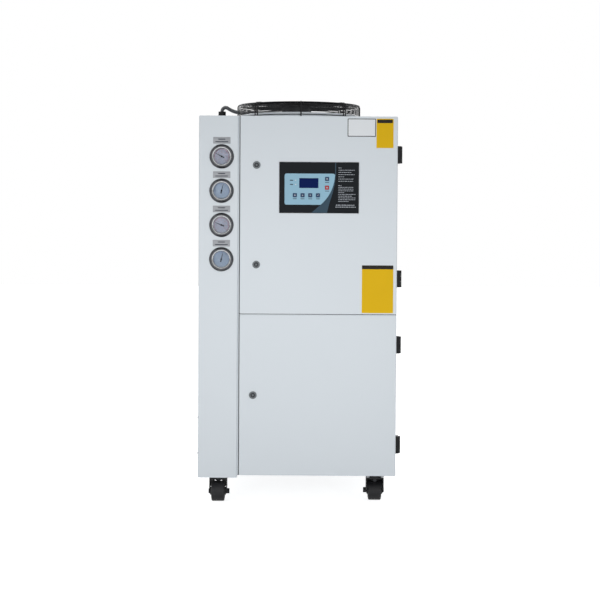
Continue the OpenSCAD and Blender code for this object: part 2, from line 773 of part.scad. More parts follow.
module gauge_lenses() color("aliceblue", 0.3) each_gauge()
    translate([0, 0, lens_z]) cylinder(r = lens_r, h = lens_t);

// Doors

module control_door() color("gainsboro") difference() {
    folded_pan([door_x0, door_x1], [y_front, y_front + door_t], [control_z0, z_top], door_lip);
    for (z = control_lock_z) lock_hole(control_lock_x, z);
}

module service_door() color("gainsboro") difference() {
    folded_pan([door_x0, door_x1], [y_front, y_front + door_t], [service_z0, service_z1], door_lip);
    lock_hole(service_lock_x, service_lock_z);
}

module lock_hole(x, z)
    facing_front([door_x0 + x, y_front, z]) translate([0, 0, -sheet - cut])
        cylinder(r = lock_barrel_r + clear, h = sheet + 2 * cut);

// Quarter-turn lock: a head with a keyed recess, a barrel, a nut behind the sheet and a cam turned clear
module cam_lock(x, z) facing_front([door_x0 + x, y_front, z]) difference() {
    union() {
        cylinder(r = lock_r, h = lock_flange_t);
        cylinder(r1 = lock_r, r2 = lock_r - lock_flange_t, h = lock_head_h);
        translate([0, 0, lock_cam.z - door_t]) cylinder(r = lock_barrel_r, h = door_t - lock_cam.z);
        translate([0, 0, -sheet - lock_nut_h]) cylinder(r = lock_r + lock_flange_t, h = lock_nut_h, $fn = 6);
        translate([-lock_cam.x / 2, -lock_cam.y + lock_cam.x / 2, -door_t]) cube(lock_cam);
    }
    translate([0, 0, lock_head_h - lock_recess]) difference() {
        cylinder(r = lock_r - 2 * lock_flange_t, h = lock_recess + cut);
        cylinder(r = lock_key_r, h = lock_recess + cut, $fn = 3);
    }
}

module control_door_locks() color("dimgray") for (z = control_lock_z) cam_lock(control_lock_x, z);

module service_door_lock() color("dimgray") cam_lock(service_lock_x, service_lock_z);

// Half of a hinge on the cabinet's side: a leaf with the two outer knuckles and the pin
module fixed_leaf(z) translate([0, 0, z - hinge_h / 2]) {
    back_y = y_frame + hinge_leaf_l;
    for (at = [0, 2 * knuckle_h]) {
        block([half_w, hinge_axis_y, at], [hinge_axis_x, hinge_axis_y + hinge_turn_r, at + knuckle_h]);
        translate([hinge_axis_x, hinge_axis_y, at]) cylinder(r = hinge_r, h = knuckle_h);
    }
    block([half_w, hinge_axis_y + hinge_turn_r, 0], [half_w + hinge_leaf_t, back_y, hinge_h]);
    translate([hinge_axis_x, hinge_axis_y, 0]) cylinder(r = hinge_pin_r, h = hinge_h);
}

// Half of a hinge on a door's edge: a leaf with the middle knuckle
module door_leaf(z) translate([0, 0, z - hinge_h / 2]) {
    low = knuckle_h + knuckle_gap;
    high = 2 * knuckle_h - knuckle_gap;
    difference() {
        union() {
            block([half_w, y_front + bend_r, 0], [half_w + hinge_leaf_t, hinge_axis_y - hinge_turn_r, hinge_h]);
            block([half_w, hinge_axis_y - hinge_turn_r, low], [hinge_axis_x, hinge_axis_y, high]);
            translate([hinge_axis_x, hinge_axis_y, low]) cylinder(r = hinge_r, h = high - low);
        }
        translate([hinge_axis_x, hinge_axis_y, 0]) cylinder(r = hinge_pin_r + clear, h = hinge_h);
    }
}

module fixed_hinge_leaves() color("#202020") for (z = concat(control_hinge_z, service_hinge_z)) fixed_leaf(z);

module control_door_hinges() color("#202020") for (z = control_hinge_z) door_leaf(z);

module service_door_hinges() color("#202020") for (z = service_hinge_z) door_leaf(z);

// Control panel on the upper door

// Puts a flat shape, drawn down and to the right from the panel's top left corner, on its face
module on_panel(lift, t) facing_front([panel_x0, y_front - lift, panel_z1])
    linear_extrude(t) mirror([0, 1]) children();

module panel_rect(corners, r) translate(corners[0]) round_rect(corners[1] - corners[0], r);

module control_panel() color("#181a1c") on_panel(0, panel_t) round_rect([panel_w, panel_h], 2);

// Pale field with a right side cut off along an arc, open where the display sits
module keypad_overlay() color("lightblue") on_panel(panel_t, overlay_t) difference() {
    intersection() {
        panel_rect(overlay, overlay_corner_r);
        translate([overlay[1].x - overlay_arc_r, overlay[0].y]) circle(overlay_arc_r, $fn = 128);
    }
    panel_rect(display, 1);
}

module display_window() color("navy") on_panel(panel_t, overlay_t) panel_rect(display, 1);

module keypad_keys() color("darkslateblue") on_panel(panel_t + overlay_t, key_t)
    for (k = keys) translate(k - [key_w, key_w] / 2) round_rect([key_w, key_w], 2);

module controller_box() color("dimgray")
    translate([panel_x0 + (panel_w - controller.x) / 2, y_front + sheet,
        panel_z1 - (panel_h + controller.y) / 2])
        cube([controller.x, controller.z, controller.y]);

// Fan on the roof

// Bell mouth: a throat, a rolled rim, an outer wall and a flange on the roof
module fan_collar() color("whitesmoke") translate([0, 0, z_top]) rotate_extrude($fn = 128) {
    rim_z = collar_h - rim_r;
    translate([throat_r + rim_r, rim_z]) intersection() {
        difference() {
            circle(rim_r);
            circle(rim_r - collar_t);
        }
        translate([-rim_r, 0]) square([2 * rim_r, rim_r]);
    }
    translate([throat_r, -throat_l]) square([collar_t, throat_l + rim_z]);
    translate([collar_r - collar_t, 0]) square([collar_t, rim_z]);
    translate([collar_r - collar_t, 0]) square([collar_flange_r - collar_r + collar_t, collar_t]);
}

// Flat top of the guard: rings on spokes round the disc that carries the motor
module fan_guard_grille() color("#181818") rotate(guard_turn) {
    step = (guard_r - guard_disc_r) / guard_rings;
    disc_z = guard_z - ring_wire / 2;
    for (i = [1:guard_rings]) square_ring(guard_disc_r + i * step, guard_z - ring_wire, ring_wire);
    translate([0, 0, disc_z]) cylinder(r = guard_disc_r, h = spoke_wire);
    for (a = single_legs) rotate(a) spoke(0, disc_z);
    for (a = double_legs, side = [-1, 1]) rotate(a) spoke(side * leg_pair / 2, disc_z);
}

module spoke(offset, z)
    translate([guard_disc_r - spoke_wire, offset - spoke_wire / 2, z])
        cube([guard_r - guard_disc_r + 1.5 * spoke_wire, spoke_wire, spoke_wire]);

// Hoops inside the guard's legs
module fan_guard_hoops() color("#181818")
    for (z = hoop_z) square_ring(guard_r - (spoke_wire + ring_wire) / 2, z, ring_wire);

// Legs of the guard, the double ones on feet
module fan_guard_legs() color("#181818") rotate(guard_turn) {
    foot_z = z_top + collar_t;
    for (a = single_legs) rotate(a) leg(0, foot_z, leg_top);
    for (a = double_legs) rotate(a) {
        for (side = [-1, 1]) leg(side * leg_pair / 2, foot_z, leg_top);
        translate([guard_r - spoke_wire / 2, -leg_pair, foot_z])
            cube([collar_flange_r - guard_r, 2 * leg_pair, guard_foot_t]);
    }
}

module leg(offset, z0, z1)
    translate([guard_r - spoke_wire / 2, offset - spoke_wire / 2, z0]) cube([spoke_wire, spoke_wire, z1 - z0]);

// Fixed part of the motor under the guard's disc, with its shaft and terminal box
module fan_motor() color("#202020") {
    boss_z1 = guard_z - ring_wire / 2;
    translate([0, 0, boss_z0]) cylinder(r = boss_r, h = boss_z1 - boss_z0);
    translate([0, 0, rotor_bottom + 8]) cylinder(r = shaft_r, h = boss_z0 - rotor_bottom);
    translate([terminal_x0, conduit_y - terminal.y / 2, boss_z0])
        cube([boss_r - terminal.x + 6, terminal.y, boss_z1 - boss_z0 - 2]);
}

// Turning can of the motor with its blades
module fan_rotor() color("#181818") {
    edge_r = 8;
    difference() {
        union() {
            translate([0, 0, rotor_bottom]) rotate_extrude() {
                square([rotor_r - edge_r, rotor_top - rotor_bottom]);
                translate([0, edge_r]) square([rotor_r, rotor_top - rotor_bottom - edge_r]);
                translate([rotor_r - edge_r, edge_r]) circle(edge_r);
            }
            for (i = [0:blades - 1]) rotate(i * 360 / blades) blade();
        }
        translate([0, 0, rotor_bottom + 8 - clear]) cylinder(r = shaft_r + clear, h = rotor_top - rotor_bottom);
    }
}

// Sickle blade: a strip of a cambered tube, pitched, cut to a swept outline
module blade() {
    mid_z = (rotor_top + rotor_bottom) / 2;
    translate([0, 0, mid_z]) intersection() {
        rotate([blade_pitch, 0, 0]) translate([0, 0, -blade_camber_r]) rotate([0, 90, 0]) difference() {
            cylinder(r = blade_camber_r + blade_t / 2, h = blade_tip_r + cut, $fn = 128);
            translate([0, 0, -cut])
                cylinder(r = blade_camber_r - blade_t / 2, h = blade_tip_r + 3 * cut, $fn = 128);
        }
        translate([0, 0, -(rotor_top - rotor_bottom) / 2])
            linear_extrude(rotor_top - rotor_bottom) blade_outline();
    }
}

// Outline of a blade from above: between two swept arcs, from inside the can to the tip circle
module blade_outline() intersection() {
    difference() {
        circle(blade_tip_r, $fn = 128);
        circle(rotor_r - 6);
    }
    difference() {
        translate([blade_tip_r * 0.5, -blade_tip_r * 0.22]) circle(blade_tip_r * 0.66, $fn = 128);
        translate([blade_tip_r * 0.55, -blade_tip_r * 0.80]) circle(blade_tip_r * 0.62, $fn = 128);
    }
}

module conduit_gland() color("#202020") translate([gland_x, conduit_y, z_top]) {
    cylinder(r = gland_nut[0], h = gland_nut[1], $fn = 6);
    cylinder(r = gland_r, h = gland_top - z_top);
}

// Conduit in one upright plane: a short rise, a hump, a dip and a straight run to the terminal box
module fan_conduit() color("#282828") translate([gland_x, conduit_y, 0]) {
    translate([0, 0, gland_top]) cylinder(r = conduit_r, h = hump_z - gland_top);
    translate([hump_r, 0, hump_z]) rotate([90, 0, 0]) rotate([0, 0, 180 - hump_angle])
        rotate_extrude(angle = hump_angle) translate([hump_r, 0]) circle(conduit_r);
    translate([dip_end.x, 0, hump_z + dip_end.y + dip_r]) rotate([90, 0, 0]) rotate([0, 0, 270 - dip_angle])
        rotate_extrude(angle = dip_angle) translate([dip_r, 0]) circle(conduit_r);
    rod_x([dip_end.x, terminal_x0 - gland_x], 0, conduit_z, conduit_r);
    pipe_sleeve([0, 0, hump_z], [0, 0, 0], conduit_r);
    pipe_sleeve([hump_end.x, 0, hump_z + hump_end.y], [0, 90 + dip_angle, 0], conduit_r);
    pipe_sleeve([dip_end.x, 0, conduit_z], [0, 90, 0], conduit_r);
}

// Casters

module caster_plates() color("#202020") for (p = caster_places) translate([p.x, p.y, 0]) {
    translate([-caster_plate.x / 2, -caster_plate.y / 2, caster_h - caster_plate.z])
        linear_extrude(caster_plate.z) round_rect([caster_plate.x, caster_plate.y], caster_plate_r);
    translate([0, 0, crown_z1 + crown_gap]) cylinder(r = race_r, h = race_h);
    translate([0, 0, crown_z0 - crown_gap]) cylinder(r = kingpin_r, h = crown_t + 3 * crown_gap);
    translate([0, 0, crown_z0 - crown_gap - kingpin_head[1]])
        cylinder(r = kingpin_head[0], h = kingpin_head[1]);
}

// Place of a caster, swung about its swivel axis
module at_caster(i) translate(caster_places[i]) rotate(caster_turns[i]) children();

// Fork with its axle: a crown under the swivel, two legs, a hood over the wheel and a bolt with its nut
module caster_fork(i) at_caster(i) difference() {
    union() {
        block([-fork_out, fork_crown[0], crown_z0], [fork_out, fork_crown[1], crown_z1]);
        for (x = [-fork_out, fork_in]) translate([x, 0, 0]) fork_leg();
        fork_hood();
        rod_x([-fork_out - axle_end, fork_out + axle_end], caster_trail, wheel_r, axle_r);
        mirror([nut_on_left(i) ? 1 : 0, 0, 0]) {
            rod_x([fork_out, fork_out + axle_nut[1]], caster_trail, wheel_r, axle_nut[0]);
            rod_x([-fork_out - axle_end, -fork_out], caster_trail, wheel_r, axle_nut[0]);
        }
    }
    translate([0, 0, crown_z0 - cut]) cylinder(r = kingpin_r + clear, h = crown_t + 2 * cut);
}

// Each nut is towards the cabinet's middle
function nut_on_left(i) = (caster_places[i].x > 0) != (caster_turns[i] == 180);

// Curved sheet between the legs, round the front of the wheel
module fork_hood() difference() {
    intersection() {
        rod_x([-fork_in, fork_in], caster_trail, wheel_r, hood_r + hood_t);
        block([-fork_out, caster_trail - 2 * hood_r, wheel_r + hood_lift], [fork_out, caster_trail, crown_z1]);
    }
    rod_x([-fork_out, fork_out], caster_trail, wheel_r, hood_r);
    translate([0, 0, wheel_r]) cylinder(r = kingpin_head[0] + 2, h = crown_z0 - wheel_r);
}

module fork_leg() rotate([90, 0, 90]) linear_extrude(fork_t) {
    polygon([[fork_crown[0], crown_z1], [fork_crown[1], crown_z1],
        [caster_trail + fork_end_r, wheel_r], [caster_trail - fork_end_r, wheel_r],
        [hood_y - hood_lap, wheel_r + hood_lift - hood_lap]]);
    translate([caster_trail, wheel_r]) circle(fork_end_r);
}

// Wheel with a round-shouldered tread and hub bosses, bored for the axle
module caster_wheel(i) at_caster(i) translate([0, caster_trail, wheel_r]) rotate([0, 90, 0])
    rotate_extrude() difference() {
        union() {
            translate([0, -wheel_w / 2]) square([wheel_r - shoulder_r, wheel_w]);
            translate([0, -wheel_w / 2 + shoulder_r]) square([wheel_r, wheel_w - 2 * shoulder_r]);
            for (side = [-1, 1])
                translate([wheel_r - shoulder_r, side * (wheel_w / 2 - shoulder_r)]) circle(shoulder_r);
            translate([0, -fork_in + hub_gap]) square([hub_r, 2 * (fork_in - hub_gap)]);
        }
        translate([0, -fork_in]) square([axle_r + clear, 2 * fork_in]);
    }

module front_left_fork() color("#202020") caster_fork(0);
module front_right_fork() color("#202020") caster_fork(1);
module rear_left_fork() color("#202020") caster_fork(2);
module rear_right_fork() color("#202020") caster_fork(3);
module front_left_wheel() color("#303030") caster_wheel(0);
module front_right_wheel() color("#303030") caster_wheel(1);
module rear_left_wheel() color("#303030") caster_wheel(2);
module rear_right_wheel() color("#303030") caster_wheel(3);

base_tray();
left_side_panel();
right_side_panel();
left_access_cover();
rear_upper_panel();
rear_lower_panel();
roof_panel();
front_column();
door_frame_stiles();
door_frame_rails();
condenser_deck();
electrical_plate();
electrical_gear();
condensers();
water_tank();
compressor();
circulation_pump();
pipework();
water_sockets();
supply_cable_gland();
gauge_cases();
gauge_dials();
gauge_pointers();
gauge_lenses();
fixed_hinge_leaves();
control_door();
control_door_hinges();
control_door_locks();
control_panel();
keypad_overlay();
display_window();
keypad_keys();
controller_box();
service_door();
service_door_hinges();
service_door_lock();
fan_collar();
fan_guard_grille();
fan_guard_hoops();
fan_guard_legs();
fan_motor();
fan_rotor();
fan_conduit();
conduit_gland();
caster_plates();
front_left_fork();
front_right_fork();
rear_left_fork();
rear_right_fork();
front_left_wheel();
front_right_wheel();
rear_left_wheel();
rear_right_wheel();
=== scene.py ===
"""Looks of the air cooled water chiller: materials, fine pieces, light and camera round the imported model.

Metres, in the model's own frame: X to the right, Y to the back, Z up. Small sizes are written in millimetres
and turned into metres by MM.
"""
import json
import math

import bmesh
import bpy
from mathutils import Matrix, Vector


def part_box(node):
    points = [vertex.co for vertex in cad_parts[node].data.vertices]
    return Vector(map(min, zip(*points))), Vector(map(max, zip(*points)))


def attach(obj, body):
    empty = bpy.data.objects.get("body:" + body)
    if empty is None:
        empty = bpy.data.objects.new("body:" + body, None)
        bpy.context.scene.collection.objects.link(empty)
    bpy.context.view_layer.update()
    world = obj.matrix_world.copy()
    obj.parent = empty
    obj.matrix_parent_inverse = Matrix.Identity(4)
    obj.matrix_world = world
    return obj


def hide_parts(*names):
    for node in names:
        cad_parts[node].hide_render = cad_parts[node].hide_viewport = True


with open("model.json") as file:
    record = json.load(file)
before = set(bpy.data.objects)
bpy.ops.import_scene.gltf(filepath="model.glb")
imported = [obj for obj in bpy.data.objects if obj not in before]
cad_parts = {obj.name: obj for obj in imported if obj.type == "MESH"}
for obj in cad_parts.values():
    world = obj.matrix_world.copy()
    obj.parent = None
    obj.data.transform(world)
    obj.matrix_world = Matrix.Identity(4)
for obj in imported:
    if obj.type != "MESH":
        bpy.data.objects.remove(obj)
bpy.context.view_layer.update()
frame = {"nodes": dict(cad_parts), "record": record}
MM = 0.001

# Places that many pieces share, read from the model
roof_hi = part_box("roof_panel")[1]
door_lo, door_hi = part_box("control_door")
service_lo, service_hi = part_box("service_door")
column_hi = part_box("front_column")[1]
panel_lo, panel_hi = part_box("control_panel")
HALF_W = roof_hi.x
FRONT = door_lo.y
FRAME_Y = column_hi.y
REAR = roof_hi.y
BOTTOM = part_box("base_tray")[0].z
ROOF = roof_hi.z
CASTERS = ("front_left", "front_right", "rear_left", "rear_right")


# Colours and materials

MATERIALS = {}


def srgb(r, g, b):
    """Linear colour from 8-bit screen values."""
    def linear(c):
        c /= 255
        return c / 12.92 if c <= 0.04045 else ((c + 0.055) / 1.055) ** 2.4
    return (linear(r), linear(g), linear(b))


def shade(colour, factor):
    """The colour made lighter or darker, with an alpha of 1."""
    return tuple(min(1.0, c * factor) for c in colour) + (1.0,)


def fill(node, values):
    """Sets a node's inputs."""
    for key, value in values.items():
        node.inputs[key].default_value = value


def join(links, a, output, b, entry):
    """Links an output of node a to an input of node b."""
    links.new(a.outputs[output], b.inputs[entry])


def coat(name, colour, roughness, metallic=0.0, drift=(0.03, 5), grain=None, gloss_drift=0.05,
         stretch=(1, 1, 1), clear=0.0, bends=1.5, shine=0.5):
    """Makes a material: its colour and gloss drift slowly over the surface, and its grain is a fine bump.

    drift and grain are a strength and a scale. stretch pulls the grain out along the axes where it is small,
    as brushing does. clear lets light through, bends is the index of refraction, and shine is how much an
    unpolished surface mirrors.
    """
    mat = bpy.data.materials.new(name)
    mat.use_nodes = True
    nodes, links = mat.node_tree.nodes, mat.node_tree.links
    shader = nodes["Principled BSDF"]
    fill(shader, {"Metallic": metallic, "Transmission Weight": clear, "IOR": bends,
                  "Specular IOR Level": shine})
    place = nodes.new("ShaderNodeTexCoord")
    pull = nodes.new("ShaderNodeMapping")
    fill(pull, {"Scale": stretch})
    join(links, place, "Object", pull, "Vector")

    amount, scale = drift
    slow = nodes.new("ShaderNodeTexNoise")
    fill(slow, {"Scale": scale, "Detail": 4.0})
    join(links, pull, "Vector", slow, "Vector")
    blend = nodes.new("ShaderNodeMix")
    blend.data_type = "RGBA"
    fill(blend, {"A": shade(colour, 1 - amount), "B": shade(colour, 1 + amount)})
    join(links, slow, "Fac", blend, "Factor")
    join(links, blend, "Result", shader, "Base Color")
    gloss = nodes.new("ShaderNodeMapRange")
    fill(gloss, {"To Min": max(0.0, roughness - gloss_drift), "To Max": roughness + gloss_drift})
    join(links, slow, "Fac", gloss, "Value")
    join(links, gloss, "Result", shader, "Roughness")
    if grain:
        strength, scale = grain
        fine = nodes.new("ShaderNodeTexNoise")
        fill(fine, {"Scale": scale, "Detail": 2.0})
        join(links, pull, "Vector", fine, "Vector")
        bump = nodes.new("ShaderNodeBump")
        fill(bump, {"Strength": strength, "Distance": 0.3 * MM})
        join(links, fine, "Fac", bump, "Height")
        join(links, bump, "Normal", shader, "Normal")
    MATERIALS[name] = mat
    return mat


# Finishes of the record's slots
coat("panel_paint", srgb(212, 218, 223), 0.40, drift=(0.012, 2.5), grain=(0.10, 700))
coat("zinc_sheet", srgb(172, 176, 178), 0.42, 0.85, drift=(0.16, 60), grain=(0.05, 900))
coat("device_plastic", srgb(66, 68, 72), 0.48, grain=(0.15, 1600), shine=0.3)
coat("fin_aluminium", srgb(178, 184, 188), 0.36, 0.9, drift=(0.08, 25))
coat("tank_steel", srgb(190, 192, 194), 0.30, 0.95, drift=(0.05, 5), grain=(0.08, 60), stretch=(1, 1, 30))
coat("black_paint", srgb(24, 24, 26), 0.40, drift=(0.15, 5), grain=(0.10, 900), shine=0.2)
coat("pump_paint", srgb(40, 82, 130), 0.34, drift=(0.06, 5), grain=(0.10, 900))
coat("pipe_copper", srgb(190, 118, 82), 0.30, 0.95, drift=(0.12, 40))
coat("socket_brass", srgb(186, 152, 84), 0.28, 0.95, drift=(0.08, 40))
coat("black_plastic", srgb(22, 22, 24), 0.48, drift=(0.12, 5), grain=(0.25, 1500), shine=0.12)
# The gauge chrome is painted dark and blotchy, as painted reflection
coat("gauge_chrome", srgb(88, 88, 90), 0.20, 1.0, drift=(0.6, 45))
coat("dial_white", srgb(200, 203, 212), 0.45, drift=(0.02, 60), shine=0.2)
coat("pointer_black", srgb(16, 18, 22), 0.40, drift=(0.1, 5), shine=0.1)
coat("gauge_glass", (0.95, 0.97, 1.0), 0.03, drift=(0.01, 5), gloss_drift=0.01, clear=1.0, bends=1.1)
coat("lock_zinc", srgb(96, 101, 104), 0.36, 0.55, drift=(0.12, 120), grain=(0.12, 900))
coat("panel_black", srgb(20, 24, 28), 0.34, drift=(0.10, 5), grain=(0.05, 2500), shine=0.08)
coat("overlay_blue", srgb(143, 183, 203), 0.34, drift=(0.03, 12), grain=(0.05, 2500), shine=0.25)
coat("display_navy", srgb(0, 24, 80), 0.18, drift=(0.10, 30), shine=0.08)
coat("key_grey", srgb(50, 70, 98), 0.36, drift=(0.08, 90), grain=(0.06, 900), shine=0.15)
coat("wheel_rubber", srgb(38, 38, 40), 0.52, drift=(0.18, 70), grain=(0.35, 1200), shine=0.2)
for part in frame["record"]["subparts"]:
    skin = frame["nodes"][part["node"]].data.materials
    skin.clear()
    skin.append(MATERIALS[part["material_slot"]])

# The fan's paint is glossier than the guard's and painted paler, as painted light that makes up for the
# guard's shade on it
FAN_PAINTED_LIGHT = coat("fan_paint_painted_light", srgb(62, 63, 66), 0.28, drift=(0.2, 30), grain=(0.10, 900), shine=0.5)
for node in ("fan_motor", "fan_rotor"):
    frame["nodes"][node].data.materials[0] = FAN_PAINTED_LIGHT

coat("red_key", srgb(172, 48, 50), 0.34, drift=(0.06, 90), shine=0.2)
coat("band_slate", srgb(56, 76, 90), 0.34, drift=(0.10, 14), shine=0.1)
coat("print_white", srgb(206, 209, 213), 0.45, drift=(0.05, 60), shine=0.2)
coat("print_grey", srgb(168, 173, 180), 0.45, drift=(0.08, 300), shine=0.2)
# Dark print and wire colour, also the painted shade in the screw and duct slots
coat("print_dark_and_painted_shade", srgb(40, 46, 58), 0.45, drift=(0.08, 60), shine=0.15)
coat("dial_pink", srgb(132, 135, 146), 0.45, drift=(0.03, 60), shine=0.2)
coat("dial_blue", srgb(124, 136, 150), 0.45, drift=(0.03, 60), shine=0.2)
# Bright metal for the rings of painted highlight inside the gauge bezels
coat("ring_painted_highlight", srgb(186, 188, 190), 0.22, 0.9, drift=(0.25, 60))
# The conduit's black plastic is painted a lighter grey, as painted highlight
coat("conduit_grey_painted_highlight", srgb(74, 76, 80), 0.34, drift=(0.12, 60), grain=(0.1, 900))
coat("scale_red", srgb(140, 84, 94), 0.45, drift=(0.06, 60), shine=0.2)
coat("scale_blue", srgb(84, 100, 132), 0.45, drift=(0.06, 60), shine=0.2)
coat("print_red", srgb(186, 50, 60), 0.45, drift=(0.06, 60))
coat("print_blue", srgb(60, 84, 150), 0.45, drift=(0.06, 60))
coat("plate_yellow", srgb(222, 178, 8), 0.42, drift=(0.03, 14), shine=0.12)
coat("plate_white", srgb(224, 227, 230), 0.36, drift=(0.02, 14))
coat("plate_dark", srgb(36, 33, 28), 0.45, drift=(0.08, 60), shine=0.1)
coat("plate_metal", srgb(152, 154, 158), 0.50, 0.2, drift=(0.10, 5), grain=(0.10, 80),
     stretch=(1, 1, 25), shine=0.2)
coat("screw_steel", srgb(176, 178, 180), 0.30, 0.9, drift=(0.10, 200))
# Dark screw metal, also the painted shade in the lock recesses
coat("screw_dark_and_painted_shade", srgb(46, 47, 50), 0.40, 0.5, drift=(0.10, 200), shine=0.2)
# Pale seal finish, painted light over the door gaps' shade; the foam finish below is also the gaps' painted
# shade
coat("seal_painted_light", srgb(208, 214, 219), 0.60, drift=(0.02, 40), grain=(0.2, 900), shine=0.3)
coat("foam_and_painted_shade", srgb(30, 30, 31), 0.85, drift=(0.15, 200), grain=(0.6, 1800), shine=0.1)
coat("duct_grey", srgb(128, 132, 136), 0.55, drift=(0.05, 30), grain=(0.1, 900))


# Mesh helpers

SHARP_ANGLE = math.radians(35)
BEVEL_STEPS = 2
CORNER_STEPS = 5
WIRE_SIDES = 8


def soften(bm, edges, width):
    """Rounds edges off."""
    bmesh.ops.bevel(bm, geom=edges, offset=width, segments=BEVEL_STEPS, profile=0.5, affect="EDGES")


def add_box(bm, lo, hi, bevel=0.0):
    """Box between two corners, with its edges rounded off."""
    lo, hi = Vector(lo), Vector(hi)
    place = Matrix.Translation((lo + hi) / 2) @ Matrix.Diagonal((*(hi - lo), 1))
    made = bmesh.ops.create_cube(bm, size=1, matrix=place)
    if bevel:
        soften(bm, list(dict.fromkeys(e for v in made["verts"] for e in v.link_edges)), bevel)


def circle_steps(steps):
    """Angles round a full turn."""
    return [2 * math.pi * i / steps for i in range(steps)]


def on_circle(r, a, h=0.0):
    """Point at radius r, angle a and height h."""
    return Vector((r * math.cos(a), r * math.sin(a), h))


def add_lathe(bm, profile, place, steps):
    """Turned solid: profile is (radius, height) points; place takes the Z axis to its real axis."""
    rings = []
    for r, h in profile:
        spots = [on_circle(r, a, h) for a in circle_steps(steps)] if r else [Vector((0, 0, h))]
        rings.append([bm.verts.new(place @ p) for p in spots])
    for low, high in zip(rings, rings[1:]):
        for i in range(steps):
            j = (i + 1) % steps
            corners = [low[i % len(low)], low[j % len(low)], high[j % len(high)], high[i % len(high)]]
            bm.faces.new(list(dict.fromkeys(corners)))
    for ring in (rings[0], rings[-1]):
        if len(ring) > 1:
            bm.faces.new(ring)


def add_disc(bm, radius, height, place, steps):
    """Plain round disc, or with six steps the head of a hexagon bolt."""
    add_lathe(bm, [(radius, 0), (radius, height), (0, height)], place, steps)


def add_turned_ring(bm, profile, place, steps):
    """Turned ring with a hole: profile is a closed outline of (radius, height) points."""
    rings = [[bm.verts.new(place @ on_circle(r, a, h)) for r, h in profile] for a in circle_steps(steps)]
    for i in range(steps):
        here, there = rings[i], rings[(i + 1) % steps]
        for k in range(len(profile)):
            n = (k + 1) % len(profile)
            bm.faces.new((here[k], here[n], there[n], there[k]))


def add_rod(bm, p, q, radius, steps):
    """Round bar between two points."""
    p, q = Vector(p), Vector(q)
    place = Matrix.Translation(p) @ (q - p).to_track_quat("Z", "Y").to_matrix().to_4x4()
    add_lathe(bm, [(radius, 0), (radius, (q - p).length)], place, steps)


def add_tube(bm, points, radius, steps, closed=False):
    """Round tube along points; radius is a number or one number for each point."""
    points = [Vector(p) for p in points]
    last = len(points) - 1
    rings = []
    side = None
    for k, p in enumerate(points):
        before = points[k - 1] if k or closed else p
        after = points[(k + 1) % len(points)] if k < last or closed else p
        along = (after - before).normalized()
        side = along.orthogonal() if side is None else side
        side = (side - along * side.dot(along)).normalized()
        other = along.cross(side)
        r = radius[k] if isinstance(radius, list) else radius
        spots = [p + r * (side * math.cos(a) + other * math.sin(a)) for a in circle_steps(steps)]
        rings.append([bm.verts.new(s) for s in spots])
    spans = list(zip(rings, rings[1:]))
    if closed:
        spans.append((rings[-1], rings[0]))
    else:
        bm.faces.new(rings[0])
        bm.faces.new(rings[-1])
    for low, high in spans:
        for i in range(steps):
            j = (i + 1) % steps
            bm.faces.new((low[i], low[j], high[j], high[i]))


def add_hoop(bm, place, radius, wire, steps=96):
    """Ring of round wire; place takes the Z axis to its axis."""
    add_tube(bm, [place @ on_circle(radius, a) for a in circle_steps(steps)], wire, WIRE_SIDES, closed=True)


def add_prism(bm, outline, place, thickness, bevel=0.0):
    """Flat plate: outline is (x, y) points in order; place takes its plane to where it lies, Z outwards."""
    base = [bm.verts.new(place @ Vector((x, y, 0))) for x, y in outline]
    top = [bm.verts.new(place @ Vector((x, y, thickness))) for x, y in outline]
    bm.faces.new(base)
    cap = bm.faces.new(top)
    for i in range(len(outline)):
        j = (i + 1) % len(outline)
        bm.faces.new((base[i], base[j], top[j], top[i]))
    if bevel:
        soften(bm, list(cap.edges), bevel)


def in_mm(points):
    """Points given in millimetres, in metres."""
    return [(a * MM, b * MM) for a, b in points]


def arc(cx, cy, r, start, end, steps):
    """Points on an arc, in degrees."""
    turns = [math.radians(start + (end - start) * i / steps) for i in range(steps + 1)]
    return [(cx + r * math.cos(a), cy + r * math.sin(a)) for a in turns]


def rect(x0, y0, x1, y1):
    """Outline of a rectangle."""
    return [(x0, y0), (x1, y0), (x1, y1), (x0, y1)]


def round_rect(x0, y0, x1, y1, r):
    """Outline of a rectangle with round corners."""
    corners = ((x1 - r, y1 - r, 0), (x0 + r, y1 - r, 90), (x0 + r, y0 + r, 180), (x1 - r, y0 + r, 270))
    return [p for x, y, start in corners for p in arc(x, y, r, start, start + 90, CORNER_STEPS)]


def bar(half_w, half_h):
    """Outline of a plain bar about its middle, with soft corners."""
    return round_rect(-half_w, -half_h, half_w, half_h, 0.6 * half_h)


OUTWARDS = {"front": (0, -1, 0), "rear": (0, 1, 0), "left": (-1, 0, 0), "right": (1, 0, 0),
            "up": (0, 0, 1), "down": (0, 0, -1)}


def facing(x, y, z, direction="front"):
    """Matrix for a plate on a face: its X runs to the viewer's right, its Y up, its Z out."""
    out = Vector(OUTWARDS[direction])
    up = Vector((0, out.z, 1 - abs(out.z)))
    return moved(x, y, z) @ Matrix((up.cross(out), up, out)).transposed().to_4x4()


def turned(degrees):
    """Turn about the Z axis."""
    return Matrix.Rotation(math.radians(degrees), 4, "Z")


def moved(x, y, z):
    """Shift along the axes."""
    return Matrix.Translation((x, y, z))


def spaced(a, b, count):
    """Evenly spaced values from a to b."""
    return [a + (b - a) * i / (count - 1) for i in range(count)]


def new_object(name, data):
    """Object in the scene that shows the data."""
    made = bpy.data.objects.new(name, data)
    bpy.context.scene.collection.objects.link(made)
    return made


